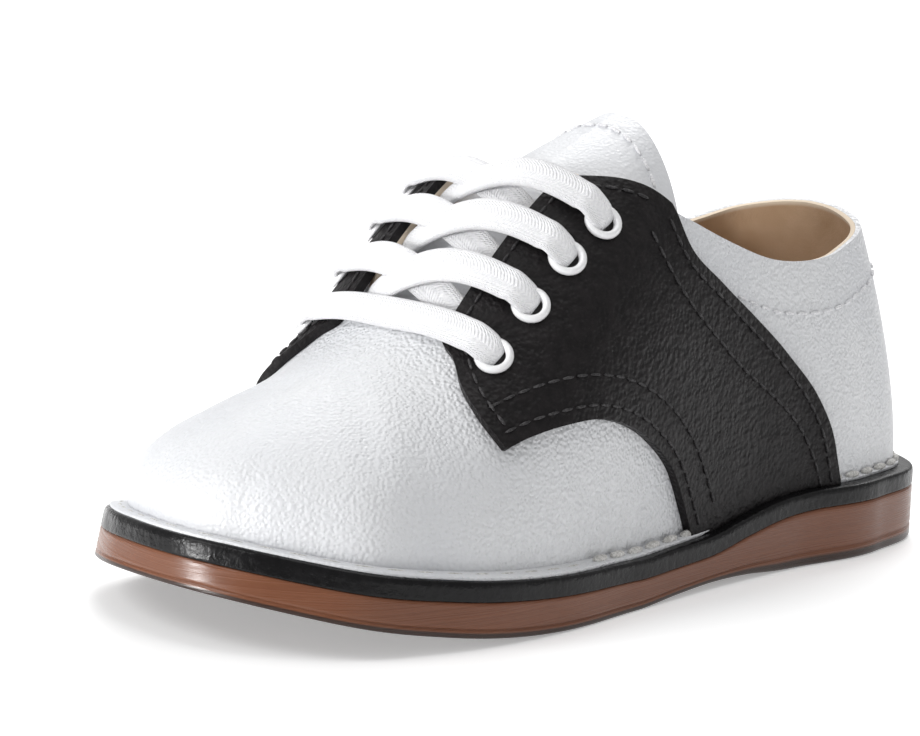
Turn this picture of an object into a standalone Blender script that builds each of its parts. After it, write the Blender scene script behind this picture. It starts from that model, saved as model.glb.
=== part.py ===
"""A child's lace-up saddle shoe for the right foot: a white leather upper with a black leather
saddle over the instep, a black midsole and a brown rubber outsole with a low heel.

The toe points to -Y and the heel to +Y. +X is the inner (big toe) side. Z = 0 is the floor.
Every curved piece is laid on one form, the last. Its ribs rise from the midsole to the ridge
over the instep. A place on it has two shares: round, from the back of the heel (0) to the tip
of the toe (1), positive on the inner side and negative on the outer side, and wrap, from the
midsole (0) to the ridge (1).
"""

import functools
import math

import bmesh
import bpy
import numpy as np
from mathutils import Matrix, Vector

# Driving sizes in metres.
LENGTH = 0.150              # outsole, heel to toe
BALL_WIDTH = 0.0650         # outsole across the ball of the foot
HEEL_HEIGHT = 0.0090        # brown sole under the heel
FORESOLE = 0.0052           # brown sole under the ball and the toe
WAIST_SOLE = 0.0041         # brown sole at its thinnest
ARCH = 0.0010               # lift of the waist off the floor
TOE_SPRING = 0.0077         # lift of the toe off the floor
MIDSOLE = 0.0030            # black layer
WELT_MARGIN = 0.0034        # step from the upper out to the edge of the midsole
WALL = 0.0017               # white leather and its lining
OVERLAY = 0.0012            # black saddle leather
INSOLE = 0.0020
TONGUE = 0.0016
TONGUE_WIDTH = 0.0400
TONGUE_DROP = 0.0040        # how much lower than the facings its top end lies
TONGUE_SHIFT = 0.0022       # its middle, towards the inner side
TONGUE_CORNER = 0.0036      # how far forward its top corners are rounded
TONGUE_NARROW = 0.72        # its front end, as a share of its width
TONGUE_TOP = 0.418          # top end of the tongue, as a share of LENGTH from the heel
TONGUE_FRONT = 0.770        # its front end, under the vamp
CLEARANCE = 0.0003          # gap between pieces that touch
INSTEP_HEIGHT = 0.0640      # scale of the ridge's heights over the floor
BACK_HEIGHT = 0.0558        # collar over the floor at the back
ANKLE_HEIGHT = 0.0470       # collar over the floor at its lowest
FACING_HEIGHT = 0.0620      # highest point of the saddle over the floor
THROAT_GAP = 0.0204         # between the two facings
THROAT_FRONT = 0.735        # front end of the throat, as a share of LENGTH from the heel
THROAT_END = 0.0036         # depth of its round front end
EYELET_ROW = 0.0080         # facing's edge to the middle of the eyelets
EYELET_RADIUS = 0.0029      # flange
EYELET_HOLE = 0.0017        # radius of the way through
EYELET_METAL = 0.0004
EYELET_RISE = 0.0007        # flange over the leather
EYELETS = 4                 # on each side
EYELET_START = 0.700        # lowest pair, as a share of LENGTH from the heel
EYELET_STEP = 0.0071        # between pairs, along the shoe
LACE_WIDTH = 0.0048
LACE_THICKNESS = 0.0014

# The underside of the sole, once round. Along is a share of LENGTH from the heel, inner and
# outer are shares of half of BALL_WIDTH.
FOOTPRINT = (
    ("round", "along", "inner", "outer"),
    (0.00, 0.000, 0.05, -0.05),
    (0.04, 0.011, 0.37, 0.25),
    (0.08, 0.045, 0.66, 0.52),
    (0.18, 0.160, 0.88, 0.76),
    (0.31, 0.300, 0.86, 0.78),
    (0.44, 0.430, 0.88, 0.84),
    (0.57, 0.570, 0.94, 0.94),
    (0.69, 0.700, 1.00, 1.00),
    (0.81, 0.830, 0.93, 0.97),
    (0.91, 0.940, 0.68, 0.80),
    (0.955, 0.985, 0.36, 0.44),
    (1.00, 1.000, 0.00, 0.00),
)
# The sole from the side. Heel and fore are shares of what HEEL_HEIGHT and FORESOLE add to
# WAIST_SOLE, arch is a share of ARCH and toe of TOE_SPRING.
SOLE = (
    ("along", "heel", "fore", "arch", "toe"),
    (0.00, 1.00, 0.00, 0.00, 0.00),
    (0.26, 1.00, 0.00, 0.00, 0.00),
    (0.32, 0.84, 0.00, 0.15, 0.00),
    (0.38, 0.40, 0.00, 0.80, 0.00),
    (0.43, 0.06, 0.00, 1.00, 0.00),
    (0.50, 0.00, 0.05, 0.60, 0.00),
    (0.56, 0.00, 0.35, 0.00, 0.00),
    (0.64, 0.00, 0.75, 0.00, 0.00),
    (0.73, 0.00, 1.00, 0.00, 0.06),
    (0.82, 0.00, 0.85, 0.00, 0.25),
    (0.91, 0.00, 0.50, 0.00, 0.56),
    (1.00, 0.00, 0.10, 0.00, 1.00),
)
# The ridge: along is a share of LENGTH, across of half of BALL_WIDTH towards the inner side,
# height of INSTEP_HEIGHT.
RIDGE = (
    ("round", "along", "across", "height"),
    (0.00, 0.17, 0.00, 1.42),
    (0.20, 0.24, 0.00, 1.35),
    (0.35, 0.36, 0.00, 1.23),
    (0.48, 0.50, 0.00, 1.06),
    (0.58, 0.60, 0.00, 0.905),
    (0.66, 0.67, 0.00, 0.755),
    (0.74, 0.72, 0.00, 0.625),
    (0.87, 0.775, 0.00, 0.54),
    (1.00, 0.81, 0.00, 0.505),
)
# Each rib leaves the midsole upright and arrives level at the ridge. Lean is how far its side
# swells out as a share of half of BALL_WIDTH, side how far up it stays upright as a share of
# its height, crown how wide its top is as a share of its width.
RIB = (
    ("round", "lean", "side", "crown"),
    (0.00, 0.01, 0.34, 0.15),
    (0.20, 0.01, 0.36, 0.40),
    (0.35, 0.02, 0.54, 0.58),
    (0.48, 0.01, 0.72, 0.82),
    (0.58, 0.02, 0.70, 0.78),
    (0.68, 0.03, 0.58, 0.62),
    (0.78, 0.04, 0.48, 0.58),
    (0.90, 0.05, 0.52, 0.60),
    (1.00, 0.06, 0.56, 0.62),
)


RIBS = 40                   # ribs on one side, heel to toe
WRAP_STEPS = 12             # points up one rib


@functools.lru_cache(maxsize=None)
def column(table, name):
    """The first column of a table, a named column of it and that column's slopes."""
    rows = np.array(table[1:])
    stations = rows[:, 0]
    values = rows[:, table[0].index(name)]
    return stations, values, np.gradient(values, stations)


def read(table, name, share):
    """One named column of a table, read smoothly at a share along the table's first column."""
    stations, values, slopes = column(table, name)
    share = np.clip(share, stations[0], stations[-1])
    row = np.clip(np.searchsorted(stations, share, side="right") - 1, 0, len(stations) - 2)
    span = stations[row + 1] - stations[row]
    part = (share - stations[row]) / span
    rise = part**2 * (3 - 2 * part)
    leave = part * (1 - part)**2 * span * slopes[row]
    arrive = part**2 * (part - 1) * span * slopes[row + 1]
    return values[row] + (values[row + 1] - values[row]) * rise + leave + arrive


def whole_footprint():
    """The footprint from the toe round the heel to the toe, and on, so that its ends come out
    round. Across is towards the inner side."""
    inner = [(turn, along, across) for turn, along, across, other in FOOTPRINT[1:]]
    outer = [(-turn, along, -across) for turn, along, other, across in FOOTPRINT[:0:-1]]
    before = [(turn - 2, along, across) for turn, along, across in inner[-3:-1]]
    after = [(turn + 2, along, across) for turn, along, across in outer[1:3]]
    return tuple([("turn", "along", "across")] + before + outer[:-1] + inner + after)


OUTLINE = whole_footprint()


def share_of(name, along):
    """A column of the side view of the sole, which never passes 0 or 1."""
    return np.clip(read(SOLE, name, along), 0, 1)


def brown(along):
    """Thickness of the brown sole."""
    heel = (HEEL_HEIGHT - WAIST_SOLE) * share_of("heel", along)
    fore = (FORESOLE - WAIST_SOLE) * share_of("fore", along)
    return WAIST_SOLE + heel + fore


def sole_side(turn, lift):
    """Points of the sole's side, a lift above its underside and square to it."""
    along = read(OUTLINE, "along", turn)
    across = read(OUTLINE, "across", turn)
    step = 0.01
    spring = share_of("toe", along + step) - share_of("toe", along - step)
    tilt = np.arctan(TOE_SPRING * spring / (2 * step * LENGTH))
    gap = ARCH * share_of("arch", along) + TOE_SPRING * share_of("toe", along)
    x = BALL_WIDTH / 2 * across
    y = LENGTH * (0.5 - along) + lift * np.sin(tilt)
    z = gap + lift * np.cos(tilt)
    return np.stack([x, y, z], axis=-1)


def sole_top(turn):
    return sole_side(turn, brown(read(OUTLINE, "along", turn)) + MIDSOLE)


def inset(edge, turn, margin):
    """Points of an edge moved in by a margin, square to the edge as seen from above."""
    step = 0.002
    ahead = edge(turn + step) - edge(turn - step)
    size = np.hypot(ahead[..., 0], ahead[..., 1])
    inward = np.stack([ahead[..., 1] / size, -ahead[..., 0] / size, 0 * size], axis=-1)
    return edge(turn) + inward * np.asarray(margin)[..., None]


HALF_TURN = np.linspace(0, 1, 401)


SEAT_LINE = sole_top(HALF_TURN)[::-1]


def seat(y):
    """Height of the midsole's top."""
    return np.interp(y, SEAT_LINE[:, 1], SEAT_LINE[:, 2])


def fold(turn):
    """A turn brought between -1 and 1."""
    return (turn + 1) % 2 - 1


def ridge(round_share):
    x = BALL_WIDTH / 2 * read(RIDGE, "across", round_share)
    y = LENGTH * (0.5 - read(RIDGE, "along", round_share))
    z = INSTEP_HEIGHT * read(RIDGE, "height", round_share)
    return np.stack([x, y, z], axis=-1)


def last(turn, wrap):
    """Points of the form, on Bezier ribs from the foot line up to the ridge."""
    turn = fold(turn)
    share = np.abs(turn)
    foot = inset(sole_top, turn, WELT_MARGIN)
    foot[..., 2] = seat(foot[..., 1]) + CLEARANCE
    swollen = inset(sole_top, turn, WELT_MARGIN - BALL_WIDTH / 2 * read(RIB, "lean", share))
    top = ridge(share)
    step = 0.01
    ahead = ridge(share + step) - ridge(share - step)
    slope = ahead[..., 2] / ahead[..., 1]
    upright = swollen.copy()
    upright[..., 2] = foot[..., 2] + read(RIB, "side", share) * (top[..., 2] - foot[..., 2])
    crown = read(RIB, "crown", share)
    level = top + (foot - top) * crown[..., None]
    level[..., 2] = top[..., 2] + slope * (level[..., 1] - top[..., 1])
    w = wrap[..., None]
    return ((1 - w)**3 * foot + 3 * w * (1 - w)**2 * upright
            + 3 * w**2 * (1 - w) * level + w**3 * top)


def outward(turn, wrap):
    """Unit normals of the form."""
    step = 0.003
    wrap = np.clip(wrap, step, 1 - 4 * step)
    up = last(turn, wrap + step) - last(turn, wrap - step)
    ahead = last(turn + step, wrap) - last(turn - step, wrap)
    normal = np.cross(up, ahead)
    return normal / np.linalg.norm(normal, axis=-1, keepdims=True)


def skin(turn, wrap, out):
    """Points a distance outside the form. Both sides meet at the ridge, and the foot line
    stays on the midsole."""
    normal = outward(turn, wrap)
    mirrored = outward(-turn, wrap)
    at_ridge = (wrap > 0.999)[..., None]
    middle = normal + mirrored
    middle /= np.linalg.norm(middle, axis=-1, keepdims=True)
    points = last(turn, wrap) + out * np.where(at_ridge, middle, normal)
    at_foot = wrap < 0.001
    points[..., 2] = np.where(at_foot, seat(points[..., 1]) + CLEARANCE, points[..., 2])
    return points


# The top edge of the upper from the side, as shares of LENGTH and of the height over ANKLE_HEIGHT
# that BACK_HEIGHT gives behind and FACING_HEIGHT in front.
TOPLINE = (
    ("along", "back", "facing"),
    (0.00, 1.00, 0.00),
    (0.06, 0.78, 0.00),
    (0.14, 0.30, 0.00),
    (0.22, 0.04, 0.00),
    (0.30, 0.00, 0.06),
    (0.37, 0.00, 0.28),
    (0.43, 0.00, 0.52),
    (0.468, 0.00, 0.70),
    (0.486, 0.00, 0.86),
    (0.515, 0.00, 0.98),
    (0.55, 0.00, 1.00),
    (0.58, 0.00, 0.96),
)
# The saddle from the side: its rear edge and its front edge, from the top down, as shares of
# LENGTH and of FACING_HEIGHT.
SADDLE_REAR = (
    ("step", "along", "height"),
    (0.00, 0.472, 0.94),
    (0.14, 0.456, 0.83),
    (0.30, 0.410, 0.74),
    (0.48, 0.350, 0.635),
    (0.66, 0.297, 0.53),
    (0.80, 0.258, 0.43),
    (0.90, 0.235, 0.33),
    (1.00, 0.222, 0.20),
)
SADDLE_FRONT = (
    ("step", "along", "height"),
    (0.00, 0.735, 0.425),
    (0.16, 0.705, 0.448),
    (0.32, 0.665, 0.465),
    (0.48, 0.620, 0.468),
    (0.62, 0.580, 0.445),
    (0.76, 0.540, 0.395),
    (0.88, 0.502, 0.315),
    (1.00, 0.475, 0.20),
)
SADDLE_TIP = ((0.7245, 0.62), (0.742, 0.560), (0.745, 0.485))


def even_turns():
    """Turns of ribs evenly spaced round the foot, from just past the toe to the toe."""
    points = sole_top(HALF_TURN)
    steps = np.linalg.norm(np.diff(points, axis=0), axis=1)
    run = np.concatenate([[0], np.cumsum(steps)])
    half = np.interp(np.linspace(0, run[-1], RIBS + 1), run, HALF_TURN)
    return np.concatenate([-half[-2:0:-1], half])


TURNS = even_turns()
WRAPS = np.linspace(0, 1, WRAP_STEPS + 1)


def material(name, colour, roughness, metallic=0.0):
    """A plain material."""
    made = bpy.data.materials.new(name)
    made.use_nodes = True
    shader = made.node_tree.nodes["Principled BSDF"]
    shader.inputs["Base Color"].default_value = (*colour, 1.0)
    shader.inputs["Roughness"].default_value = roughness
    shader.inputs["Metallic"].default_value = metallic
    return made


def finish(name, bm, made):
    """An object from a bmesh whose faces are turned outward."""
    bmesh.ops.remove_doubles(bm, verts=bm.verts, dist=1e-6)
    bmesh.ops.recalc_face_normals(bm, faces=bm.faces)
    mesh = bpy.data.meshes.new(name)
    bm.to_mesh(mesh)
    bm.free()
    mesh.materials.append(made)
    mesh.shade_smooth()
    mesh.set_sharp_from_angle(angle=math.radians(35))
    made_object = bpy.data.objects.new(name, mesh)
    bpy.context.collection.objects.link(made_object)
    return made_object


def grid_verts(bm, turns, wraps, out):
    """A grid of points on the form, a row for each wrap."""
    rows = []
    for wrap in wraps:
        points = skin(turns, np.full(len(turns), wrap), out)
        rows.append([bm.verts.new(point) for point in points])
    return rows


def quads(bm, low, high, closed):
    """Faces between two rows of points."""
    count = len(low)
    for k in range(count if closed else count - 1):
        ahead = (k + 1) % count
        bm.faces.new((low[k], low[ahead], high[ahead], high[k]))


def shell(name, turns, wraps, far_out, near_out, made):
    """A wall between two distances from the form: all round it, or over a patch of it."""
    bm = bmesh.new()
    closed = len(turns) == len(TURNS)
    outer = grid_verts(bm, turns, wraps, far_out)
    inner = grid_verts(bm, turns, wraps, near_out)
    for rows in (outer, inner):
        for low, high in zip(rows, rows[1:]):
            quads(bm, low, high, closed)
    quads(bm, outer[0], inner[0], closed)
    if not closed:
        quads(bm, outer[-1], inner[-1], False)
        for end in (0, -1):
            quads(bm, [row[end] for row in outer], [row[end] for row in inner], False)
    return finish(name, bm, made)


def prism(name, outline, axis, start, end):
    """A cutter: an outline of (y, z) points run along X, or of (x, y) points run along Z."""
    bm = bmesh.new()
    if axis == "X":
        verts = [bm.verts.new((start, a, b)) for a, b in outline]
    else:
        verts = [bm.verts.new((a, b, start)) for a, b in outline]
    face = bm.faces.new(verts)
    grown = bmesh.ops.extrude_face_region(bm, geom=[face])
    way = Vector((end - start, 0, 0)) if axis == "X" else Vector((0, 0, end - start))
    moved = [item for item in grown["geom"] if isinstance(item, bmesh.types.BMVert)]
    bmesh.ops.translate(bm, vec=way, verts=moved)
    cutter = finish(name, bm, material(name, (0.5, 0.5, 0.5), 0.5))
    cutter.hide_render = True
    cutter.display_type = "WIRE"
    return cutter


def cut(target, cutter, operation="DIFFERENCE"):
    modifier = target.modifiers.new(cutter.name, "BOOLEAN")
    modifier.operation = operation
    modifier.object = cutter
    modifier.solver = "EXACT"


def bridge(bm, ring):
    """Faces from side to side of a ring that starts just past the toe and ends at the toe."""
    count = len(ring)
    toe = ring[-1]
    heel = ring[count // 2 - 1]
    outer = [toe] + ring[:count // 2]
    inner = [toe] + ring[:count // 2 - 2:-1][1:]
    for k in range(count // 2):
        corners = [outer[k], outer[k + 1], inner[k + 1], inner[k]]
        if k == 0:
            corners = [outer[0], outer[1], inner[1]]
        if k == count // 2 - 1:
            corners = [outer[k], heel, inner[k]]
        bm.faces.new(corners)


def sole_layer(name, low_lift, high_lift, chamfer, made):
    """A layer of the sole between two lifts, its top and bottom running level across."""
    bm = bmesh.new()
    levels = (
        (low_lift, chamfer),
        (lambda along: low_lift(along) + chamfer, 0.0),
        (lambda along: high_lift(along) - chamfer, 0.0),
        (high_lift, chamfer),
    )
    rings = []
    for lift, margin in levels:
        points = inset(lambda turn: sole_side(turn, lift(read(OUTLINE, "along", turn))),
                       TURNS, margin)
        rings.append([bm.verts.new(point) for point in points])
    for low, high in zip(rings, rings[1:]):
        quads(bm, low, high, True)
    for ring in (rings[0], rings[-1]):
        bridge(bm, ring)
    return finish(name, bm, made)


def insole(made):
    """The sock that lines the inside, lying in the foot of the upper."""
    bm = bmesh.new()
    points = inset(sole_top, TURNS, WELT_MARGIN + WALL + 2 * CLEARANCE)
    rings = []
    for height in (CLEARANCE, CLEARANCE + INSOLE):
        points[:, 2] = seat(points[:, 1]) + height
        rings.append([bm.verts.new(point) for point in points])
    quads(bm, rings[0], rings[1], True)
    for ring in rings:
        bridge(bm, ring)
    return finish("insole", bm, made)


def topline():
    """The (y, z) points of the collar's edge, back to front."""
    along = np.linspace(TOPLINE[1][0], TOPLINE[-1][0], 40)
    back = (BACK_HEIGHT - ANKLE_HEIGHT) * read(TOPLINE, "back", along)
    facing = (FACING_HEIGHT - ANKLE_HEIGHT) * read(TOPLINE, "facing", along)
    return list(zip(LENGTH * (0.5 - along), ANKLE_HEIGHT + back + facing))


def collar_cutter():
    """What lies over the collar's edge."""
    edge = topline()
    sky = 2 * FACING_HEIGHT
    behind = edge[0][0] + WELT_MARGIN
    outline = [(behind, edge[0][1])] + edge + [(edge[-1][0], sky), (behind, sky)]
    return prism("collar_cutter", outline, "X", -BALL_WIDTH, BALL_WIDTH)


def throat_cutter(name, front):
    """The throat between the facings, seen from above, with a round front end."""
    half = THROAT_GAP / 2
    front_y = LENGTH * (0.5 - front)
    open_end = LENGTH * (0.5 - TONGUE_TOP)
    outline = [(half, open_end), (-half, open_end)]
    for angle in np.linspace(math.pi, 2 * math.pi, 13):
        outline.append((half * math.cos(angle), front_y + THROAT_END * (1 + math.sin(angle))))
    return prism(name, outline, "Z", HEEL_HEIGHT + 3 * MIDSOLE, 2 * FACING_HEIGHT)


def saddle_cutter(side):
    """The saddle's outline from the side, run out across one side of the shoe."""
    steps = np.linspace(0, 1, 18)
    rear = [(read(SADDLE_REAR, "along", step), read(SADDLE_REAR, "height", step))
            for step in steps]
    front = [(read(SADDLE_FRONT, "along", step), read(SADDLE_FRONT, "height", step))
             for step in steps[::-1]]
    ends = [(rear[-1][0], -0.1), (front[0][0], -0.1)]
    over = [(SADDLE_TIP[0][0], 1.3), (rear[0][0], 1.3)]
    shares = rear + ends + front + list(reversed(SADDLE_TIP)) + over
    outline = [(LENGTH * (0.5 - along), FACING_HEIGHT * height) for along, height in shares]
    name = "saddle_cutter_inner" if side > 0 else "saddle_cutter_outer"
    return prism(name, outline, "X", 0.0, side * BALL_WIDTH)


SHARES = np.linspace(0.02, 0.98, 65)
FORM = {side: np.array([last(side * SHARES, np.full(len(SHARES), wrap)) for wrap in SHARES])
        for side in (1, -1)}


def place(x, y):
    """The turns and wraps at which the form passes over places seen from above."""
    turns = np.empty(len(x))
    wraps = np.empty(len(x))
    for side in (1, -1):
        here = np.flatnonzero((x >= 0) == (side > 0))
        form = FORM[side]
        columns = range(len(SHARES))
        up = [np.interp(-np.abs(x[here]), -np.abs(form[:, k, 0]), SHARES) for k in columns]
        ys = np.array([np.interp(up[k], SHARES, form[:, k, 1]) for k in columns])
        for k, spot in enumerate(here):
            share = np.interp(-y[spot], -ys[:, k], SHARES)
            turns[spot] = side * share
            wraps[spot] = np.interp(share, SHARES, [row[k] for row in up])
    return turns, wraps


def over(x, y, out):
    """Points a distance outside the form, over or under places seen from above."""
    turns, wraps = place(x, y)
    return skin(turns, wraps, np.asarray(out)[..., None])


def tongue(made):
    """The tongue, under the facings and on up past them, with rounded corners."""
    bm = bmesh.new()
    top_y = LENGTH * (0.5 - TONGUE_TOP)
    front_y = LENGTH * (0.5 - TONGUE_FRONT)
    half = TONGUE_WIDTH / 2
    near_out = -WALL - 2 * CLEARANCE
    layers = []
    across = np.linspace(-1, 1, 11)
    corner = TONGUE_CORNER * (1 - np.sqrt(1 - np.minimum(np.abs(across), 0.999)**4))
    for face_out in (near_out, near_out - TONGUE):
        rows = []
        for share in np.linspace(0, 1, 13):
            narrow = half * (TONGUE_NARROW + (1 - TONGUE_NARROW) * math.sin(share * math.pi / 2))
            xs = narrow * across + TONGUE_SHIFT * share
            ys = front_y + (top_y - corner - front_y) * share
            out = np.full(len(across), face_out - TONGUE_DROP * share**2)
            rows.append([bm.verts.new(point) for point in over(xs, ys, out)])
        layers.append(rows)
    for rows in layers:
        for low, high in zip(rows, rows[1:]):
            quads(bm, low, high, False)
    upper_rows, under_rows = layers
    for end in (0, -1):
        quads(bm, upper_rows[end], under_rows[end], False)
        quads(bm, [row[end] for row in upper_rows], [row[end] for row in under_rows], False)
    return finish("tongue", bm, made)


def eyelet_places():
    """The plan position of each eyelet, lowest pair first, for the inner and the outer side."""
    x = THROAT_GAP / 2 + EYELET_ROW
    first = LENGTH * (0.5 - EYELET_START)
    return {side: [(side * x, first + EYELET_STEP * k) for k in range(EYELETS)]
            for side in (1, -1)}


def stand_on(x, y, out):
    """A frame on the form: origin a distance outside it, Z square to it."""
    spot = np.array([x]), np.array([y])
    normal = Vector(outward(*place(*spot))[0])
    frame = normal.to_track_quat("Z", "Y").to_matrix().to_4x4()
    return Matrix.Translation(Vector(over(*spot, [out])[0])) @ frame


def eyelet(name, x, y, made):
    """A flange on the leather and a barrel down through it."""
    bm = bmesh.new()
    barrel = EYELET_HOLE + EYELET_METAL
    depth = OVERLAY + CLEARANCE + WALL
    profile = (
        (EYELET_HOLE, -depth),
        (barrel, -depth),
        (barrel, CLEARANCE),
        (EYELET_RADIUS, CLEARANCE),
        (EYELET_RADIUS - 0.3 * EYELET_RISE, CLEARANCE + 0.7 * EYELET_RISE),
        (0.5 * (EYELET_RADIUS + EYELET_HOLE), CLEARANCE + EYELET_RISE),
        (EYELET_HOLE, CLEARANCE + 0.5 * EYELET_RISE),
    )
    verts = [bm.verts.new((radius, 0, height)) for radius, height in profile]
    edges = [bm.edges.new((verts[k - 1], verts[k])) for k in range(len(verts))]
    bmesh.ops.spin(bm, geom=verts + edges, axis=(0, 0, 1), cent=(0, 0, 0),
                   angle=2 * math.pi, steps=16, use_duplicate=False)
    made_object = finish(name, bm, made)
    made_object.matrix_world = stand_on(x, y, CLEARANCE + OVERLAY)
    return made_object


def eyelet_drill(name, places):
    """Cutters for the holes that the barrels pass through."""
    bm = bmesh.new()
    radius = EYELET_HOLE + EYELET_METAL + CLEARANCE
    for x, y in places:
        bmesh.ops.create_cone(bm, cap_ends=True, segments=14, radius1=radius, radius2=radius,
                              depth=4 * (OVERLAY + WALL), matrix=stand_on(x, y, 0.0))
    drill = finish(name, bm, material(name, (0.5, 0.5, 0.5), 0.5))
    drill.hide_render = True
    drill.display_type = "WIRE"
    return drill


def lace_strand(name, start, end, outs, bow, lift, made):
    """A flat strand between two places seen from above, bowed towards the toe and lifted in the
    middle. Outs are rows of a share along it and the height of its middle over the form."""
    bm = bmesh.new()
    count = 17
    shares = np.linspace(0, 1, count)
    xs = start[0] + (end[0] - start[0]) * shares
    ys = start[1] + (end[1] - start[1]) * shares - bow * np.sin(math.pi * shares)
    heights = read((("share", "out"),) + outs, "out", shares)
    heights = heights + lift * np.sin(math.pi * shares)
    middle = over(xs, ys, heights)
    higher = over(xs, ys, heights + LACE_THICKNESS)
    ahead = np.gradient(middle, axis=0)
    raise_by = higher - middle
    wide = np.cross(ahead, raise_by)
    wide *= LACE_WIDTH / 2 / np.linalg.norm(wide, axis=1, keepdims=True)
    raised = np.cross(wide, ahead)
    raised *= LACE_THICKNESS / 2 / np.linalg.norm(raised, axis=1, keepdims=True)
    rings = []
    for k in range(count):
        corners = [middle[k] + a * wide[k] + b * raised[k]
                   for a, b in ((-1, -1), (1, -1), (1, 1), (-1, 1))]
        rings.append([bm.verts.new(corner) for corner in corners])
    for low, high in zip(rings, rings[1:]):
        quads(bm, low, high, True)
    bm.faces.new(rings[0])
    bm.faces.new(rings[-1])
    return finish(name, bm, made)


def laces(made):
    """A straight bar over the lowest pair of eyelets, and a crossing up to each pair above.
    A crossing's strands start at the facing's edge, level with the tongue."""
    places = eyelet_places()
    on_flange = CLEARANCE + OVERLAY + 2 * CLEARANCE + EYELET_RISE + LACE_THICKNESS / 2
    on_facing = CLEARANCE + OVERLAY + CLEARANCE + LACE_THICKNESS / 2
    on_tongue = LACE_THICKNESS / 2 - WALL
    on_vamp = 2 * CLEARANCE + LACE_THICKNESS / 2
    bar = ((0.0, on_flange), (0.12, on_flange), (0.22, on_facing), (0.36, on_vamp),
           (0.64, on_vamp), (0.78, on_facing), (0.88, on_flange), (1.0, on_flange))
    lace_strand("lace_bar", places[1][0], places[-1][0], bar, LACE_WIDTH / 3, 0.0, made)
    facing_edge = THROAT_GAP / 2 - LACE_THICKNESS
    rising = ((0.0, on_tongue), (0.34, on_tongue), (0.48, (on_tongue + on_facing) / 2),
              (0.62, on_facing + CLEARANCE), (0.76, on_facing + CLEARANCE), (0.86, on_flange),
              (1.0, on_flange))
    for k in range(EYELETS - 1):
        name = f"lace_crossing_{k + 1}"
        strands = []
        for side in (1, -1):
            start = (side * facing_edge, places[side][k][1])
            part_name, lift = (name, CLEARANCE) if side > 0 else (name + "_under", 0.0)
            strands.append(lace_strand(part_name, start, places[-side][k + 1], rising, 0.0, lift,
                                       made))
        cut(strands[0], strands[1], "UNION")
        strands[1].hide_render = True
        strands[1].display_type = "WIRE"


def build():
    for old in list(bpy.data.objects):
        bpy.data.objects.remove(old, do_unlink=True)
    white_leather = material("white_leather", (0.86, 0.86, 0.88), 0.45)
    black_leather = material("black_leather", (0.025, 0.022, 0.024), 0.40)
    black_welt = material("black_welt", (0.022, 0.022, 0.024), 0.35)
    brown_rubber = material("brown_rubber", (0.20, 0.085, 0.05), 0.45)
    tan_lining = material("tan_lining", (0.58, 0.42, 0.28), 0.85)
    white_cotton = material("white_cotton", (0.88, 0.88, 0.90), 0.90)
    white_enamel = material("white_enamel", (0.85, 0.85, 0.86), 0.25)

    def ground(along):
        return 0 * along

    def brown_top(along):
        return brown(along) - CLEARANCE

    def black_top(along):
        return brown(along) + MIDSOLE

    sole_layer("outsole", ground, brown_top, 1.5 * CLEARANCE, brown_rubber)
    sole_layer("midsole", brown, black_top, CLEARANCE, black_welt)
    insole(tan_lining)

    collar = collar_cutter()
    throat = throat_cutter("throat_cutter", THROAT_FRONT)
    gap = throat_cutter("facing_gap_cutter", 1.0)
    places = eyelet_places()
    upper = shell("upper", TURNS, WRAPS, 0.0, -WALL, white_leather)
    cut(upper, collar)
    cut(upper, throat)
    for side, word in ((1, "inner"), (-1, "outer")):
        drill = eyelet_drill(f"eyelet_drill_{word}", places[side])
        cut(upper, drill)
        reach = np.abs(TURNS * side - 0.5) < 0.32
        saddle = shell(f"saddle_{word}", TURNS[reach], WRAPS[:-1], CLEARANCE + OVERLAY,
                       CLEARANCE, black_leather)
        cut(saddle, saddle_cutter(side), "INTERSECT")
        cut(saddle, collar)
        cut(saddle, gap)
        cut(saddle, drill)
        for k, (x, y) in enumerate(places[side]):
            eyelet(f"eyelet_{word}_{k + 1}", x, y, white_enamel)
    tongue(white_leather)
    laces(white_cotton)


build()
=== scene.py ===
import functools
import math

import bmesh
import bpy
import numpy as np
from mathutils import Matrix, Vector
from mathutils.bvhtree import BVHTree


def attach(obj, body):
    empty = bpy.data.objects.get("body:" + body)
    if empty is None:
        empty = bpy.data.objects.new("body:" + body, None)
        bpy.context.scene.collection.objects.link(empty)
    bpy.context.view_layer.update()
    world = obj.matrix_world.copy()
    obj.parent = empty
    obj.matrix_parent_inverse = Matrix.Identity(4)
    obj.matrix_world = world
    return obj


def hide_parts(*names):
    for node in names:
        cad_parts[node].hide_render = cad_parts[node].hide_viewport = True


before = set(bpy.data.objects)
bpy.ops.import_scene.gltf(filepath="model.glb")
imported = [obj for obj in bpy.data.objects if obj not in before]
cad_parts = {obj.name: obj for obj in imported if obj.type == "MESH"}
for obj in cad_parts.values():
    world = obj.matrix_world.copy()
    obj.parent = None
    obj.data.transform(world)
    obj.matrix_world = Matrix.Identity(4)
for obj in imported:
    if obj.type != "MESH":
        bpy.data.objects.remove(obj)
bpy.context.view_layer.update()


# Camera and studio
# A long lens looks down from the toe's inner side, turned a little, as in the photograph.
# The floor and the backdrop are one plain pale sheet. The light is large and soft and comes
# mostly from the left, with one small low lamp that glints on the edge of the sole.

LENS = 118.8                # millimetres
FILM = 36.0                 # width of the film, millimetres
PICTURE_WIDTH = 920
PICTURE_HEIGHT = 736
FOCAL_PIXELS = LENS / FILM * PICTURE_WIDTH
CAMERA_AZIMUTH = math.radians(42.19)
CAMERA_HEIGHT = math.radians(10.27)
CAMERA_ROLL = math.radians(2.55)
CAMERA_DISTANCE = 0.4676
LOOKED_AT = Vector((0.0, 0.0, 0.025))
LOOKED_AT_PIXEL = (539.0, 404.0)    # where that point falls in the picture

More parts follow.
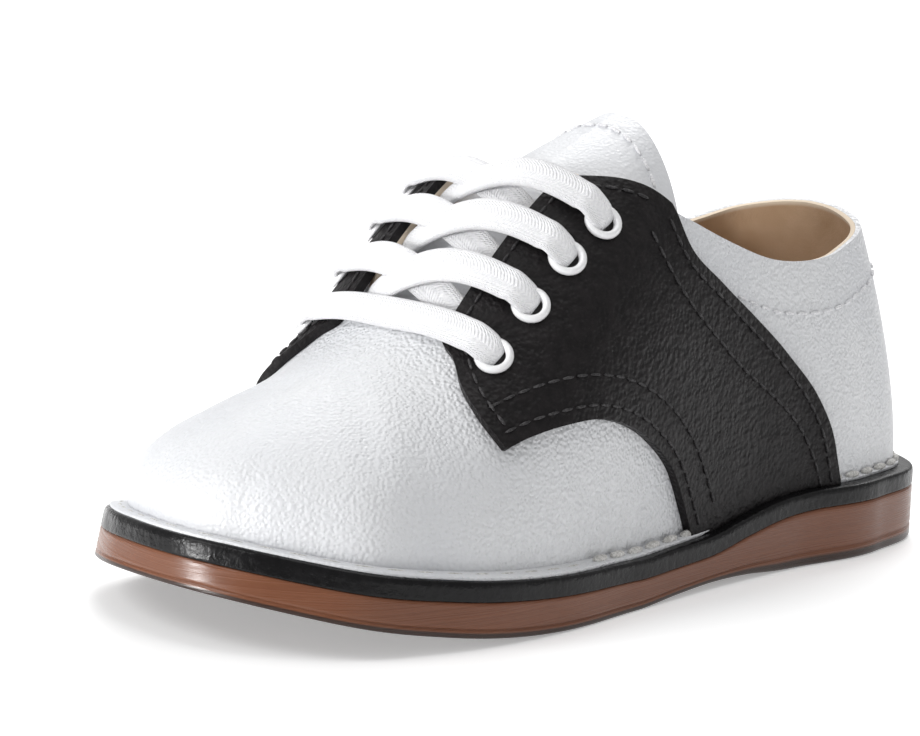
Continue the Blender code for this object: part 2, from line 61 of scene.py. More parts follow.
back = Vector((
    math.sin(CAMERA_AZIMUTH) * math.cos(CAMERA_HEIGHT),
    -math.cos(CAMERA_AZIMUTH) * math.cos(CAMERA_HEIGHT),
    math.sin(CAMERA_HEIGHT),
))
level = Vector((math.cos(CAMERA_AZIMUTH), math.sin(CAMERA_AZIMUTH), 0.0))
upright = back.cross(level)
right = level * math.cos(CAMERA_ROLL) + upright * math.sin(CAMERA_ROLL)
up = upright * math.cos(CAMERA_ROLL) - level * math.sin(CAMERA_ROLL)
off_x = PICTURE_WIDTH / 2 - LOOKED_AT_PIXEL[0]
off_y = LOOKED_AT_PIXEL[1] - PICTURE_HEIGHT / 2
axis = (right * off_x + up * off_y - back * FOCAL_PIXELS).normalized()
right = (right - axis * right.dot(axis)).normalized()
up = right.cross(axis)
turned = Matrix((right, up, -axis)).transposed().to_4x4()
camera = bpy.data.objects.new("camera", bpy.data.cameras.new("camera"))
camera.data.lens = LENS
camera.data.sensor_width = FILM
camera.data.clip_start = 0.01
camera.matrix_world = Matrix.Translation(LOOKED_AT + back * CAMERA_DISTANCE) @ turned
bpy.context.scene.collection.objects.link(camera)
bpy.context.scene.camera = camera


class Field:
    """One socket of a material's nodes. Arithmetic on it adds Math nodes."""

    def __init__(self, look, socket):
        self.look = look
        self.socket = socket

    def join(self, operation, first, second):
        return self.look.node("Math", {"operation": operation}, {0: first, 1: second})

    def __add__(self, other):
        return self.join("ADD", self, other)

    def __mul__(self, other):
        return self.join("MULTIPLY", self, other)

    __rmul__ = __mul__


class Look:
    """A material, and the methods that add nodes to it."""

    def __init__(self, name):
        self.material = bpy.data.materials.new(name)
        self.material.use_nodes = True
        self.tree = self.material.node_tree
        self.shader = self.tree.nodes["Principled BSDF"]

    def feed(self, socket, value):
        if isinstance(value, Field):
            self.tree.links.new(value.socket, socket)
        else:
            socket.default_value = value

    def node(self, kind, settings=None, values=None, out=0):
        made = self.tree.nodes.new("ShaderNode" + kind)
        for key, value in (settings or {}).items():
            setattr(made, key, value)
        for key, value in (values or {}).items():
            self.feed(made.inputs[key], value)
        return Field(self, made.outputs[out])

    def place(self):
        return self.node("TexCoord", out="Object")

    def chart(self):
        """The shares that a piece's UV map keeps."""
        return self.node("UVMap", {"uv_map": "shares"})

    def part(self, place, axis):
        return self.node("SeparateXYZ", {}, {0: place}, out=axis)

    def noise(self, scale, detail=2.0, roughness=0.5, at=None):
        values = {"Vector": at or self.place(), "Scale": scale, "Detail": detail,
                  "Roughness": roughness}
        return self.node("TexNoise", {}, values)

    def cells(self, scale):
        values = {"Vector": self.place(), "Scale": scale}
        return self.node("TexVoronoi", {"feature": "SMOOTH_F1"}, values)

    def stretched(self, scale):
        return self.node("Mapping", {}, {"Vector": self.place(), "Scale": scale})

    def ramp(self, value, low, high, start=0.0, end=1.0):
        values = {"Value": value, "From Min": low, "From Max": high, "To Min": start,
                  "To Max": end}
        return self.node("MapRange", {"interpolation_type": "SMOOTHSTEP"}, values)

    def blend(self, share, first, second):
        values = {0: share, 6: first, 7: second}
        return self.node("Mix", {"data_type": "RGBA"}, values, out=2)

    def bumped(self, height, distance, strength=1.0, under=None):
        values = {"Height": height, "Distance": distance, "Strength": strength}
        if under:
            values["Normal"] = under
        return self.node("Bump", {}, values)

    def surface(self, **inputs):
        for key, value in inputs.items():
            self.feed(self.shader.inputs[key.replace("_", " ")], value)
        return self.material


def floor_look():
    """Pale paper, lit a little from behind."""
    look = Look("floor")
    soft = look.noise(3.0)
    colour = look.blend(soft, (0.93, 0.93, 0.935, 1), (0.95, 0.95, 0.95, 1))
    return look.surface(Base_Color=colour, Roughness=0.6, Emission_Color=(1, 1, 1, 1),
                        Emission_Strength=0.30)


FLOOR_REACH = 4.0           # from the shoe to the floor's edges
SHOE_MIDDLE = (0.0, 0.0, 0.03)
FAR_FLOOR = (-1.2, 1.7, 0.0)
DAYLIGHT = 0.44

floor_mesh = bmesh.new()
bmesh.ops.create_grid(floor_mesh, x_segments=4, y_segments=4, size=FLOOR_REACH)
floor_data = bpy.data.meshes.new("floor")
floor_mesh.to_mesh(floor_data)
floor_mesh.free()
floor_data.materials.append(floor_look())
floor = bpy.data.objects.new("floor", floor_data)
bpy.context.scene.collection.objects.link(floor)

for name, stand, target, size, power in (
    ("key", (-0.45, -0.85, 0.95), SHOE_MIDDLE, 0.6, 4.8),
    ("fill", (0.95, -0.35, 0.55), SHOE_MIDDLE, 0.9, 0.1),
    ("top", (0.10, 0.15, 1.10), SHOE_MIDDLE, 0.7, 2.6),
    ("rear", (-0.50, 0.85, 0.60), SHOE_MIDDLE, 0.8, 1.2),
    ("glint", (-0.30, -0.80, 0.10), SHOE_MIDDLE, 0.16, 4.0),
    ("backdrop", (-1.20, 1.60, 1.60), FAR_FLOOR, 1.6, 40.0),
):
    lamp = bpy.data.objects.new(name, bpy.data.lights.new(name, "AREA"))
    lamp.data.shape = "SQUARE"
    lamp.data.size = size
    lamp.data.energy = power
    aim = (Vector(target) - Vector(stand)).to_track_quat("-Z", "Y")
    lamp.matrix_world = Matrix.Translation(Vector(stand)) @ aim.to_matrix().to_4x4()
    bpy.context.scene.collection.objects.link(lamp)

world = bpy.data.worlds.new("studio")
world.use_nodes = True
world.node_tree.nodes["Background"].inputs["Color"].default_value = (1.0, 1.0, 1.0, 1)
world.node_tree.nodes["Background"].inputs["Strength"].default_value = DAYLIGHT
bpy.context.scene.world = world
bpy.context.scene.view_settings.view_transform = "Standard"


# Outsole
# The brown sole is one moulding of firm rubber with a low heel merged into it, buffed along its
# side, so that fine level scratches run round it. It is cemented under the black midsole.

LENGTH = 0.150              # outsole, heel to toe
BALL_WIDTH = 0.0650         # outsole across the ball of the foot
HEEL_HEIGHT = 0.0090        # brown sole under the heel
FORESOLE = 0.0052           # brown sole under the ball and the toe
WAIST_SOLE = 0.0041         # brown sole at its thinnest
ARCH = 0.0010               # lift of the waist off the floor
TOE_SPRING = 0.0077         # lift of the toe off the floor
MIDSOLE = 0.0030            # black layer
# The underside of the sole, once round. Along is a share of LENGTH from the heel, inner and
# outer are shares of half of BALL_WIDTH.
FOOTPRINT = (
    ("round", "along", "inner", "outer"),
    (0.00, 0.000, 0.05, -0.05),
    (0.04, 0.011, 0.37, 0.25),
    (0.08, 0.045, 0.66, 0.52),
    (0.18, 0.160, 0.88, 0.76),
    (0.31, 0.300, 0.86, 0.78),
    (0.44, 0.430, 0.88, 0.84),
    (0.57, 0.570, 0.94, 0.94),
    (0.69, 0.700, 1.00, 1.00),
    (0.81, 0.830, 0.93, 0.97),
    (0.91, 0.940, 0.68, 0.80),
    (0.955, 0.985, 0.36, 0.44),
    (1.00, 1.000, 0.00, 0.00),
)
# The sole from the side. Heel and fore are shares of what HEEL_HEIGHT and FORESOLE add to
# WAIST_SOLE, arch is a share of ARCH and toe of TOE_SPRING.
SOLE = (
    ("along", "heel", "fore", "arch", "toe"),
    (0.00, 1.00, 0.00, 0.00, 0.00),
    (0.26, 1.00, 0.00, 0.00, 0.00),
    (0.32, 0.84, 0.00, 0.15, 0.00),
    (0.38, 0.40, 0.00, 0.80, 0.00),
    (0.43, 0.06, 0.00, 1.00, 0.00),
    (0.50, 0.00, 0.05, 0.60, 0.00),
    (0.56, 0.00, 0.35, 0.00, 0.00),
    (0.64, 0.00, 0.75, 0.00, 0.00),
    (0.73, 0.00, 1.00, 0.00, 0.06),
    (0.82, 0.00, 0.85, 0.00, 0.25),
    (0.91, 0.00, 0.50, 0.00, 0.56),
    (1.00, 0.00, 0.10, 0.00, 1.00),
)


@functools.lru_cache(maxsize=None)
def column(table, name):
    """The first column of a table, a named column of it and that column's slopes."""
    rows = np.array(table[1:])
    stations = rows[:, 0]
    values = rows[:, table[0].index(name)]
    return stations, values, np.gradient(values, stations)


def read(table, name, share):
    """One named column of a table, read smoothly at a share along the table's first column."""
    stations, values, slopes = column(table, name)
    share = np.clip(share, stations[0], stations[-1])
    row = np.clip(np.searchsorted(stations, share, side="right") - 1, 0, len(stations) - 2)
    span = stations[row + 1] - stations[row]
    part = (share - stations[row]) / span
    rise = part**2 * (3 - 2 * part)
    leave = part * (1 - part)**2 * span * slopes[row]
    arrive = part**2 * (part - 1) * span * slopes[row + 1]
    return values[row] + (values[row + 1] - values[row]) * rise + leave + arrive


def whole_footprint():
    """The footprint from the toe round the heel to the toe, and on, so that its ends come out
    round. Across is towards the inner side."""
    inner = [(turn, along, across) for turn, along, across, other in FOOTPRINT[1:]]
    outer = [(-turn, along, -across) for turn, along, other, across in FOOTPRINT[:0:-1]]
    before = [(turn - 2, along, across) for turn, along, across in inner[-3:-1]]
    after = [(turn + 2, along, across) for turn, along, across in outer[1:3]]
    return tuple([("turn", "along", "across")] + before + outer[:-1] + inner + after)


OUTLINE = whole_footprint()


def share_of(name, along):
    """A column of the side view of the sole, which never passes 0 or 1."""
    return np.clip(read(SOLE, name, along), 0, 1)


def brown(along):
    """Thickness of the brown sole."""
    heel = (HEEL_HEIGHT - WAIST_SOLE) * share_of("heel", along)
    fore = (FORESOLE - WAIST_SOLE) * share_of("fore", along)
    return WAIST_SOLE + heel + fore


def sole_side(turn, lift):
    """Points of the sole's side, a lift above its underside and square to it."""
    along = read(OUTLINE, "along", turn)
    across = read(OUTLINE, "across", turn)
    step = 0.01
    spring = share_of("toe", along + step) - share_of("toe", along - step)
    tilt = np.arctan(TOE_SPRING * spring / (2 * step * LENGTH))
    gap = ARCH * share_of("arch", along) + TOE_SPRING * share_of("toe", along)
    x = BALL_WIDTH / 2 * across
    y = LENGTH * (0.5 - along) + lift * np.sin(tilt)
    z = gap + lift * np.cos(tilt)
    return np.stack([x, y, z], axis=-1)


def sole_top(turn):
    """The upper edge of the black midsole."""
    return sole_side(turn, brown(read(OUTLINE, "along", turn)) + MIDSOLE)


WELD = 2e-6                 # points closer than this are one


def laid_grid(columns, rows, lay, core=(0.0, 0.02)):
    """A grid whose points are laid by lay(u, v), welded where its edges meet, facing away from
    a line along the shoe, whose x and z are core. Its UV map keeps the shares u and v."""
    bm = bmesh.new()
    bmesh.ops.create_grid(bm, x_segments=columns, y_segments=rows, size=0.5)
    flat = np.array([vert.co[:2] for vert in bm.verts])
    shares = (flat - flat.min(axis=0)) / (flat.max(axis=0) - flat.min(axis=0))
    chart = bm.loops.layers.uv.new("shares")
    for face in bm.faces:
        for loop in face.loops:
            loop[chart].uv = shares[loop.vert.index]
    for vert, point in zip(bm.verts, lay(shares[:, 0], shares[:, 1])):
        vert.co = point
    bmesh.ops.remove_doubles(bm, verts=bm.verts, dist=WELD)
    bmesh.ops.dissolve_degenerate(bm, edges=bm.edges, dist=WELD / 2)
    bmesh.ops.recalc_face_normals(bm, faces=bm.faces)
    facing = 0.0
    for face in bm.faces:
        middle = face.calc_center_median()
        away = Vector((middle.x - core[0], 0.0, middle.z - core[1]))
        facing += away.dot(face.normal) * face.calc_area()
    if facing < 0:
        bmesh.ops.reverse_faces(bm, faces=bm.faces)
    return bm


SHARP = math.radians(55)


def finished(name, bm, look, nodes, wall=0.0, rounding=0.0):
    """A piece that rides with the shoe. A wall grows inward from its face, and edges sharper
    than SHARP are rounded, where they are given."""
    mesh = bpy.data.meshes.new(name)
    bm.to_mesh(mesh)
    bm.free()
    mesh.materials.append(look)
    mesh.shade_smooth()
    made = bpy.data.objects.new(name, mesh)
    bpy.context.scene.collection.objects.link(made)
    if wall:
        solid = made.modifiers.new("wall", "SOLIDIFY")
        solid.thickness = wall
        solid.offset = -1.0
    if rounding:
        edge = made.modifiers.new("rounding", "BEVEL")
        edge.width = rounding
        edge.segments = 3
        edge.limit_method = "ANGLE"
        edge.angle_limit = SHARP
    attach(made, "root")
    if nodes:
        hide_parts(*nodes)


SOLE_COLUMNS = 420
SOLE_CORE = 0.060           # half of the middle line that the layers' flat faces run in to


def sole_section(profile, bottom, top):
    """A lay for a closed layer of the sole, with straight runs between the profile's rows. Lift
    is a share between bottom and top, inset is in metres, and reach is 0 on the middle line."""
    stations, *columns = np.array(profile[1:]).T

    def lay(u, v):
        turn = 2 * u - 1
        lift_share, margin, reach = (np.interp(v, stations, values) for values in columns)
        along = read(OUTLINE, "along", turn)
        lift = bottom(along) + lift_share * (top(along) - bottom(along))
        low = inset(lambda t: sole_side(t, lift), turn, margin)
        middle_y = np.clip(sole_side(turn, lift)[..., 1], -SOLE_CORE, SOLE_CORE)
        x = low[..., 0] * reach
        y = middle_y + (low[..., 1] - middle_y) * reach
        return np.stack([x, y, low[..., 2]], axis=-1)

    return lay


def fold(turn):
    """A turn brought between -1 and 1."""
    return (turn + 1) % 2 - 1


def inset(edge, turn, margin):
    """Points of an edge moved in by a margin, square to the edge as seen from above."""
    step = 0.002
    ahead = edge(fold(turn + step)) - edge(fold(turn - step))
    size = np.hypot(ahead[..., 0], ahead[..., 1])
    inward = np.stack([ahead[..., 1] / size, -ahead[..., 0] / size, 0 * size], axis=-1)
    return edge(turn) + inward * np.asarray(margin)[..., None]


SINK = 0.0001               # the brown sole reaches this far into the black layer


def ground(along):
    return 0 * along


def brown_top(along):
    return brown(along) + SINK


def rubber_look():
    """Warm brown rubber, buffed level, with painted shade: a near-black band along the foot of
    its side, where it meets the floor.
    """
    look = Look("brown_rubber")
    streaks = look.noise(180.0, 3.0, 0.5, look.stretched((0.10, 0.10, 30.0)))
    high = look.part(look.chart(), 1)
    mottle = look.noise(90.0, 3.0, 0.55)
    colour = look.blend(look.ramp(streaks, 0.3, 0.75), (0.150, 0.052, 0.023, 1),
                        (0.178, 0.064, 0.029, 1))
    colour = look.blend(look.ramp(mottle, 0.45, 0.75, 0.0, 0.30), colour,
                        (0.195, 0.080, 0.042, 1))
    # Painted shade: the strip of the side nearest the floor is darkened to near black.
    colour = look.blend(look.ramp(high, 0.385, 0.405), (0.030, 0.013, 0.008, 1), colour)
    rough = look.ramp(streaks, 0.3, 0.7, 0.22, 0.34)
    bump = look.bumped(streaks + 0.2 * mottle, 0.00008, 0.5)
    return look.surface(Base_Color=colour, Roughness=rough, Normal=bump,
                        Specular_IOR_Level=0.40)


OUTSOLE_ROWS = 60
OUTSOLE_PROFILE = (
    ("round", "lift", "inset", "reach"),
    (0.00, 0.00, 0.0006, 0.0),
    (0.30, 0.00, 0.0006, 1.0),
    (0.33, 0.02, 0.0002, 1.0),
    (0.36, 0.06, 0.0000, 1.0),
    (0.42, 0.24, 0.0000, 1.0),
    (0.44, 0.26, 0.0003, 1.0),
    (0.46, 0.28, 0.0000, 1.0),
    (0.64, 0.96, 0.0000, 1.0),
    (0.67, 1.00, 0.0004, 1.0),
    (1.00, 1.00, 0.0004, 0.0),
)
outsole = laid_grid(SOLE_COLUMNS, OUTSOLE_ROWS,
                    sole_section(OUTSOLE_PROFILE, ground, brown_top), (0.0, 0.004))
finished("outsole_looks", outsole, rubber_look(), ["outsole"])


# Midsole and welt
# A black layer, 3 mm thick, is cemented between the brown sole and the upper and stands out
# round the upper as the welt. Its trimmed edge is painted, a little shiny, and rounded on top.

def black_top(along):
    return brown(along) + MIDSOLE


def welt_look():
    look = Look("black_welt")
    pits = look.noise(900.0, 3.0, 0.6)
    waves = look.noise(160.0, 3.0, 0.5)
    colour = look.blend(look.ramp(pits, 0.4, 0.75), (0.0022, 0.0020, 0.0024, 1),
                        (0.0050, 0.0046, 0.0054, 1))
    rough = look.ramp(waves, 0.35, 0.65, 0.18, 0.32)
    bump = look.bumped(pits + 0.3 * waves, 0.00018, 0.7)
    return look.surface(Base_Color=colour, Roughness=rough, Normal=bump,
                        Specular_IOR_Level=0.24)


MIDSOLE_ROWS = 64
MIDSOLE_PROFILE = (
    ("round", "lift", "inset", "reach"),
    (0.00, 0.00, 0.0003, 0.0),
    (0.28, 0.00, 0.0003, 1.0),
    (0.30, 0.04, 0.0000, 1.0),
    (0.44, 0.70, 0.0000, 1.0),
    (0.48, 0.88, 0.0001, 1.0),
    (0.52, 0.96, 0.0003, 1.0),
    (0.56, 1.00, 0.0007, 1.0),
    (0.66, 1.00, 0.0034, 1.0),
    (1.00, 1.00, 0.0060, 0.0),
)
midsole = laid_grid(SOLE_COLUMNS, MIDSOLE_ROWS,
                    sole_section(MIDSOLE_PROFILE, brown, black_top), (0.0, 0.009))
finished("midsole_looks", midsole, welt_look(), ["midsole"])


# Upper
# The vamp, the quarters and the back are smooth white leather, drawn down over the last and
# turned in over the welt. The leather is a bit under 1 mm thick and has a fine even grain.

WELT_MARGIN = 0.0034        # step from the upper out to the edge of the midsole
WALL = 0.0017               # white leather and its lining
OVERLAY = 0.0012            # black saddle leather
CLEARANCE = 0.0003          # gap between pieces that touch
INSTEP_HEIGHT = 0.0640      # scale of the ridge's heights over the floor
BACK_HEIGHT = 0.0558        # collar over the floor at the back
ANKLE_HEIGHT = 0.0470       # collar over the floor at its lowest
FACING_HEIGHT = 0.0620      # highest point of the saddle over the floor
THROAT_GAP = 0.0204         # between the two facings
THROAT_FRONT = 0.708        # front end of the throat, as a share of LENGTH from the heel
THROAT_END = 0.0036         # depth of its round front end
# The ridge: along is a share of LENGTH, across of half of BALL_WIDTH towards the inner side,
# height of INSTEP_HEIGHT.
RIDGE = (
    ("round", "along", "across", "height"),
    (0.00, 0.17, 0.00, 1.42),
    (0.20, 0.24, 0.00, 1.35),
    (0.35, 0.36, 0.00, 1.23),
    (0.48, 0.50, 0.00, 1.06),
    (0.58, 0.60, 0.00, 0.905),
    (0.66, 0.67, 0.00, 0.755),
    (0.74, 0.72, 0.00, 0.625),
    (0.87, 0.775, 0.00, 0.54),
    (1.00, 0.81, 0.00, 0.505),
)
# Each rib leaves the midsole upright and arrives level at the ridge. Lean is how far its side
# swells out as a share of half of BALL_WIDTH, side how far up it stays upright as a share of
# its height, crown how wide its top is as a share of its width.
RIB = (
    ("round", "lean", "side", "crown"),
    (0.00, 0.01, 0.34, 0.15),
    (0.20, 0.01, 0.36, 0.40),
    (0.35, 0.02, 0.54, 0.58),
    (0.48, 0.01, 0.72, 0.82),
    (0.58, 0.02, 0.70, 0.78),
    (0.68, 0.03, 0.58, 0.62),
    (0.78, 0.04, 0.48, 0.58),
    (0.90, 0.05, 0.52, 0.60),
    (1.00, 0.06, 0.56, 0.62),
)


HALF_TURN = np.linspace(0, 1, 401)
SEAT_LINE = sole_top(HALF_TURN)[::-1]


def seat(y):
    """Height of the midsole's top."""
    return np.interp(y, SEAT_LINE[:, 1], SEAT_LINE[:, 2])


def ridge(round_share):
    """The middle line of the form's back, from the heel to the toe."""
    x = BALL_WIDTH / 2 * read(RIDGE, "across", round_share)
    y = LENGTH * (0.5 - read(RIDGE, "along", round_share))
    z = INSTEP_HEIGHT * read(RIDGE, "height", round_share)
    return np.stack([x, y, z], axis=-1)


def last(turn, wrap):
    """Points of the form, on Bezier ribs from the foot line up to the ridge."""
    turn = fold(turn)
    share = np.abs(turn)
    foot = inset(sole_top, turn, WELT_MARGIN)
    foot[..., 2] = seat(foot[..., 1]) + CLEARANCE
    swollen = inset(sole_top, turn, WELT_MARGIN - BALL_WIDTH / 2 * read(RIB, "lean", share))
    top = ridge(share)
    step = 0.01
    ahead = ridge(share + step) - ridge(share - step)
    slope = ahead[..., 2] / ahead[..., 1]
    upright = swollen.copy()
    upright[..., 2] = foot[..., 2] + read(RIB, "side", share) * (top[..., 2] - foot[..., 2])
    crown = read(RIB, "crown", share)
    level = top + (foot - top) * crown[..., None]
    level[..., 2] = top[..., 2] + slope * (level[..., 1] - top[..., 1])
    w = wrap[..., None]
    return ((1 - w)**3 * foot + 3 * w * (1 - w)**2 * upright
            + 3 * w**2 * (1 - w) * level + w**3 * top)


def outward(turn, wrap):
    """Unit normals of the form."""
    step = 0.003
    wrap = np.clip(wrap, step, 1 - 4 * step)
    up = last(turn, wrap + step) - last(turn, wrap - step)
    ahead = last(turn + step, wrap) - last(turn - step, wrap)
    normal = np.cross(up, ahead)
    return normal / np.linalg.norm(normal, axis=-1, keepdims=True)


def skin(turn, wrap, out):
    """Points a distance outside the form. Both sides meet at the ridge, and the foot line
    stays on the midsole."""
    normal = outward(turn, wrap)
    mirrored = outward(-turn, wrap)
    at_ridge = (wrap > 0.999)[..., None]
    middle = normal + mirrored
    middle /= np.linalg.norm(middle, axis=-1, keepdims=True)
    points = last(turn, wrap) + out * np.where(at_ridge, middle, normal)
    at_foot = wrap < 0.001
    points[..., 2] = np.where(at_foot, seat(points[..., 1]) + CLEARANCE, points[..., 2])
    return points


# The top edge of the upper from the side, as shares of LENGTH and of the height over ANKLE_HEIGHT
# that BACK_HEIGHT gives behind and FACING_HEIGHT in front.
TOPLINE = (
    ("along", "back", "facing"),
    (0.00, 1.00, 0.00),
    (0.06, 0.78, 0.00),
    (0.14, 0.30, 0.00),
    (0.22, 0.04, 0.00),
    (0.30, 0.00, 0.06),
    (0.37, 0.00, 0.28),
    (0.43, 0.00, 0.52),
    (0.468, 0.00, 0.70),
    (0.486, 0.00, 0.86),
    (0.515, 0.00, 0.98),
    (0.55, 0.00, 1.00),
    (0.58, 0.00, 0.96),
)


def topline():
    """The (y, z) points of the collar's edge, back to front."""
    along = np.linspace(TOPLINE[1][0], TOPLINE[-1][0], 40)
    back = (BACK_HEIGHT - ANKLE_HEIGHT) * read(TOPLINE, "back", along)
    facing = (FACING_HEIGHT - ANKLE_HEIGHT) * read(TOPLINE, "facing", along)
    return list(zip(LENGTH * (0.5 - along), ANKLE_HEIGHT + back + facing))


THROAT_REAR = 0.420         # where the throat opens into the collar
RIM_WRAPS = np.linspace(0.0, 1.0, 241)


def run_of(points):
    """Distance run along a row of points."""
    steps = np.linalg.norm(np.diff(points, axis=0), axis=1)
    return np.concatenate([[0.0], np.cumsum(steps)])


def rim(turns, widen=0.0):
    """The wrap at which each rib meets the collar's edge or the throat, or 1 on the vamp. The
    throat is widened by a margin."""
    points = last(*np.broadcast_arrays(turns[:, None], RIM_WRAPS[None, :]))
    x, y, z = points[..., 0], points[..., 1], points[..., 2]
    edge = np.array(topline())[::-1]
    under_collar = np.interp(y, edge[:, 0], edge[:, 1]) - z
    half = THROAT_GAP / 2 + widen
    sagged = np.sqrt(np.clip(1 - (x / half)**2, 0, 1))
    front_y = LENGTH * (0.5 - THROAT_FRONT) + THROAT_END * (1 - sagged) - widen
    open_end = LENGTH * (0.5 - THROAT_REAR)
    from_throat = np.maximum.reduce([np.abs(x) - half, front_y - y, y - open_end])
    left = np.minimum(under_collar, from_throat)
    left[:, 0] = 1.0
    out = left < 0
    wraps = np.ones(len(turns))
    for k in np.flatnonzero(out.any(axis=1)):
        at = int(np.argmax(out[k]))
        share = left[k, at - 1] / (left[k, at - 1] - left[k, at])
        wraps[k] = RIM_WRAPS[at - 1] + share * (RIM_WRAPS[at] - RIM_WRAPS[at - 1])
    return wraps


HALF_RUN = run_of(sole_top(HALF_TURN))


def even_turn(u):
    """Turns evenly spaced round the foot, from the toe round the heel to the toe."""
    half = np.interp(np.abs(2 * u - 1), HALF_RUN / HALF_RUN[-1], HALF_TURN)
    return np.sign(2 * u - 1) * half


RIM_CROWD = 1.25            # the rows of a sheet lie closer together towards its top edge


def wall_lay(out, widen=0.0, rise=None):
    """A lay for a sheet over the whole form, from the welt up to the collar and the throat."""
    def lay(u, v):
        turns = even_turn(u)
        known, where = np.unique(np.round(turns, 9), return_inverse=True)
        wraps = (1 - (1 - v)**RIM_CROWD) * rim(known, widen)[where]
        height = np.full(len(u), out)
        if rise is not None:
            height = height + rise(turns, wraps)
        points = skin(turns, wraps, height[:, None])
        points[:, 2] = np.where(v < 1e-6, seat(points[:, 1]), points[:, 2])
        return points
    return lay


def white_look(name, grain):
    """White leather: a fine pebble, smoother over the toe, and small wrinkles."""
    look = Look(name)
    pebble = look.cells(1900.0)
    wrinkle = look.noise(620.0, 3.0, 0.55)
    broad = look.noise(34.0, 2.0, 0.5)
    back_of_toe = look.ramp(look.part(look.place(), 1), -0.062, -0.030, 0.55, 1.0)
    height = (pebble + wrinkle * 0.25) * back_of_toe
    soft = look.bumped(broad, 0.0012, 0.18)
    bump = look.bumped(height, 0.00032 * grain, 1.0, soft)
    colour = look.blend(look.ramp(broad, 0.3, 0.7), (0.655, 0.665, 0.690, 1),
                        (0.705, 0.712, 0.728, 1))
    rough = look.ramp(wrinkle, 0.3, 0.7, 0.36, 0.48)
    return look.surface(Base_Color=colour, Roughness=rough, Normal=bump, Coat_Weight=0.10,
                        Coat_Roughness=0.30)


LEATHER = 0.0009            # thickness of the white leather alone
white_leather = white_look("white_leather", 1.0)
FACING_STEP = 0.0010        # the white leather ends this far short of the facing's edge
UPPER_GRID = (440, 60)
upper = laid_grid(*UPPER_GRID, wall_lay(0.0, FACING_STEP))
upper_tree = BVHTree.FromBMesh(upper)
finished("upper_looks", upper, white_leather, ["upper"], LEATHER, 0.0003)


# Lining
# Tan suede split is sewn in behind the whole upper. Its cut edge shows as a cream line inside the
# collar, and as a band between the black leather and the tongue along the facings.

LINING = 0.0008
BAND = 0.0022               # width of the band beside the throat, its slope included
BAND_SLOPE = 0.0012
BAND_RISE = 0.0011
BAND_FRONT = 0.002          # over this run the band rises at the throat's front end
BAND_REAR = 0.006           # and over this run it falls before the collar


def facing_band(turns, wraps):
    """How far the lining stands up to the saddle's leather beside the throat."""
    points = last(turns, wraps)
    near = np.clip((THROAT_GAP / 2 + BAND - np.abs(points[:, 0])) / BAND_SLOPE, 0, 1)
    front_y = LENGTH * (0.5 - THROAT_FRONT) + THROAT_END
    ahead = np.clip((BAND_REAR - points[:, 1]) / BAND_REAR, 0, 1)
    ahead = ahead * np.clip((points[:, 1] - front_y) / BAND_FRONT, 0, 1)
    return BAND_RISE * near**2 * (3 - 2 * near) * ahead


def suede_look():
    """Tan suede with a short nap, and its cream cut edge along the top."""
    look = Look("tan_lining")
    nap = look.noise(1500.0, 4.0, 0.7)
    patch = look.noise(70.0, 3.0, 0.6)
    high = look.part(look.chart(), 1)
    suede = look.blend(look.ramp(patch, 0.35, 0.7), (0.50, 0.33, 0.20, 1),
                       (0.62, 0.44, 0.29, 1))
    colour = look.blend(look.ramp(high, 0.955, 0.985), suede, (0.78, 0.66, 0.52, 1))
    bump = look.bumped(nap + patch, 0.00018, 0.6)
    return look.surface(Base_Color=colour, Roughness=0.92, Normal=bump)


suede = suede_look()
LINING_GRID = (360, 48)
HAIR = 0.00003              # between the white leather and the lining
lining = laid_grid(*LINING_GRID, wall_lay(-LEATHER - HAIR, 0.0, facing_band))
finished("lining_looks", lining, suede, [], LINING, 0.0002)


# Insole
# The sock inside the shoe is cut from the same tan suede. It is glued down flat on the midsole,
# inside the turned-in edge of the upper.

insole_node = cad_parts["insole"]
insole_node.data.materials.clear()
insole_node.data.materials.append(suede)


# Saddle
# Two pieces of near-black leather lie over the white upper, one on each side, from the facings
# down to the welt. Each is cut with a clean edge and sewn down with two rows of black thread.

# The saddle from the side: its rear edge and its front edge, from the top down, as shares of
# LENGTH and of FACING_HEIGHT.
SADDLE_REAR = (
    ("step", "along", "height"),
    (0.00, 0.472, 0.94),
    (0.14, 0.456, 0.83),
    (0.30, 0.410, 0.74),
    (0.48, 0.350, 0.635),
    (0.66, 0.297, 0.53),
    (0.80, 0.258, 0.43),
    (0.90, 0.235, 0.33),
    (1.00, 0.222, 0.20),
)
SADDLE_FRONT = (
    ("step", "along", "height"),
    (0.00, 0.735, 0.425),
    (0.16, 0.705, 0.448),
    (0.32, 0.665, 0.465),
    (0.48, 0.620, 0.468),
    (0.62, 0.580, 0.445),
    (0.76, 0.540, 0.395),
    (0.88, 0.502, 0.315),
    (1.00, 0.475, 0.20),
)
SADDLE_TIP = ((0.7245, 0.62), (0.742, 0.560), (0.745, 0.485))
SHARES = np.linspace(0.02, 0.98, 65)
FORM = {side: np.array([last(side * SHARES, np.full(len(SHARES), wrap)) for wrap in SHARES])
        for side in (1, -1)}


def place(x, y):
    """The turns and wraps at which the form passes over places seen from above."""
    turns = np.empty(len(x))
    wraps = np.empty(len(x))
    for side in (1, -1):
        here = np.flatnonzero((x >= 0) == (side > 0))
        form = FORM[side]
        columns = range(len(SHARES))
        up = [np.interp(-np.abs(x[here]), -np.abs(form[:, k, 0]), SHARES) for k in columns]
        ys = np.array([np.interp(up[k], SHARES, form[:, k, 1]) for k in columns])
        for k, spot in enumerate(here):
            share = np.interp(-y[spot], -ys[:, k], SHARES)
            turns[spot] = side * share
            wraps[spot] = np.interp(share, SHARES, [row[k] for row in up])
    return turns, wraps


def over(x, y, out):
    """Points a distance outside the form, over or under places seen from above."""
    turns, wraps = place(x, y)
    return skin(turns, wraps, np.asarray(out)[..., None])


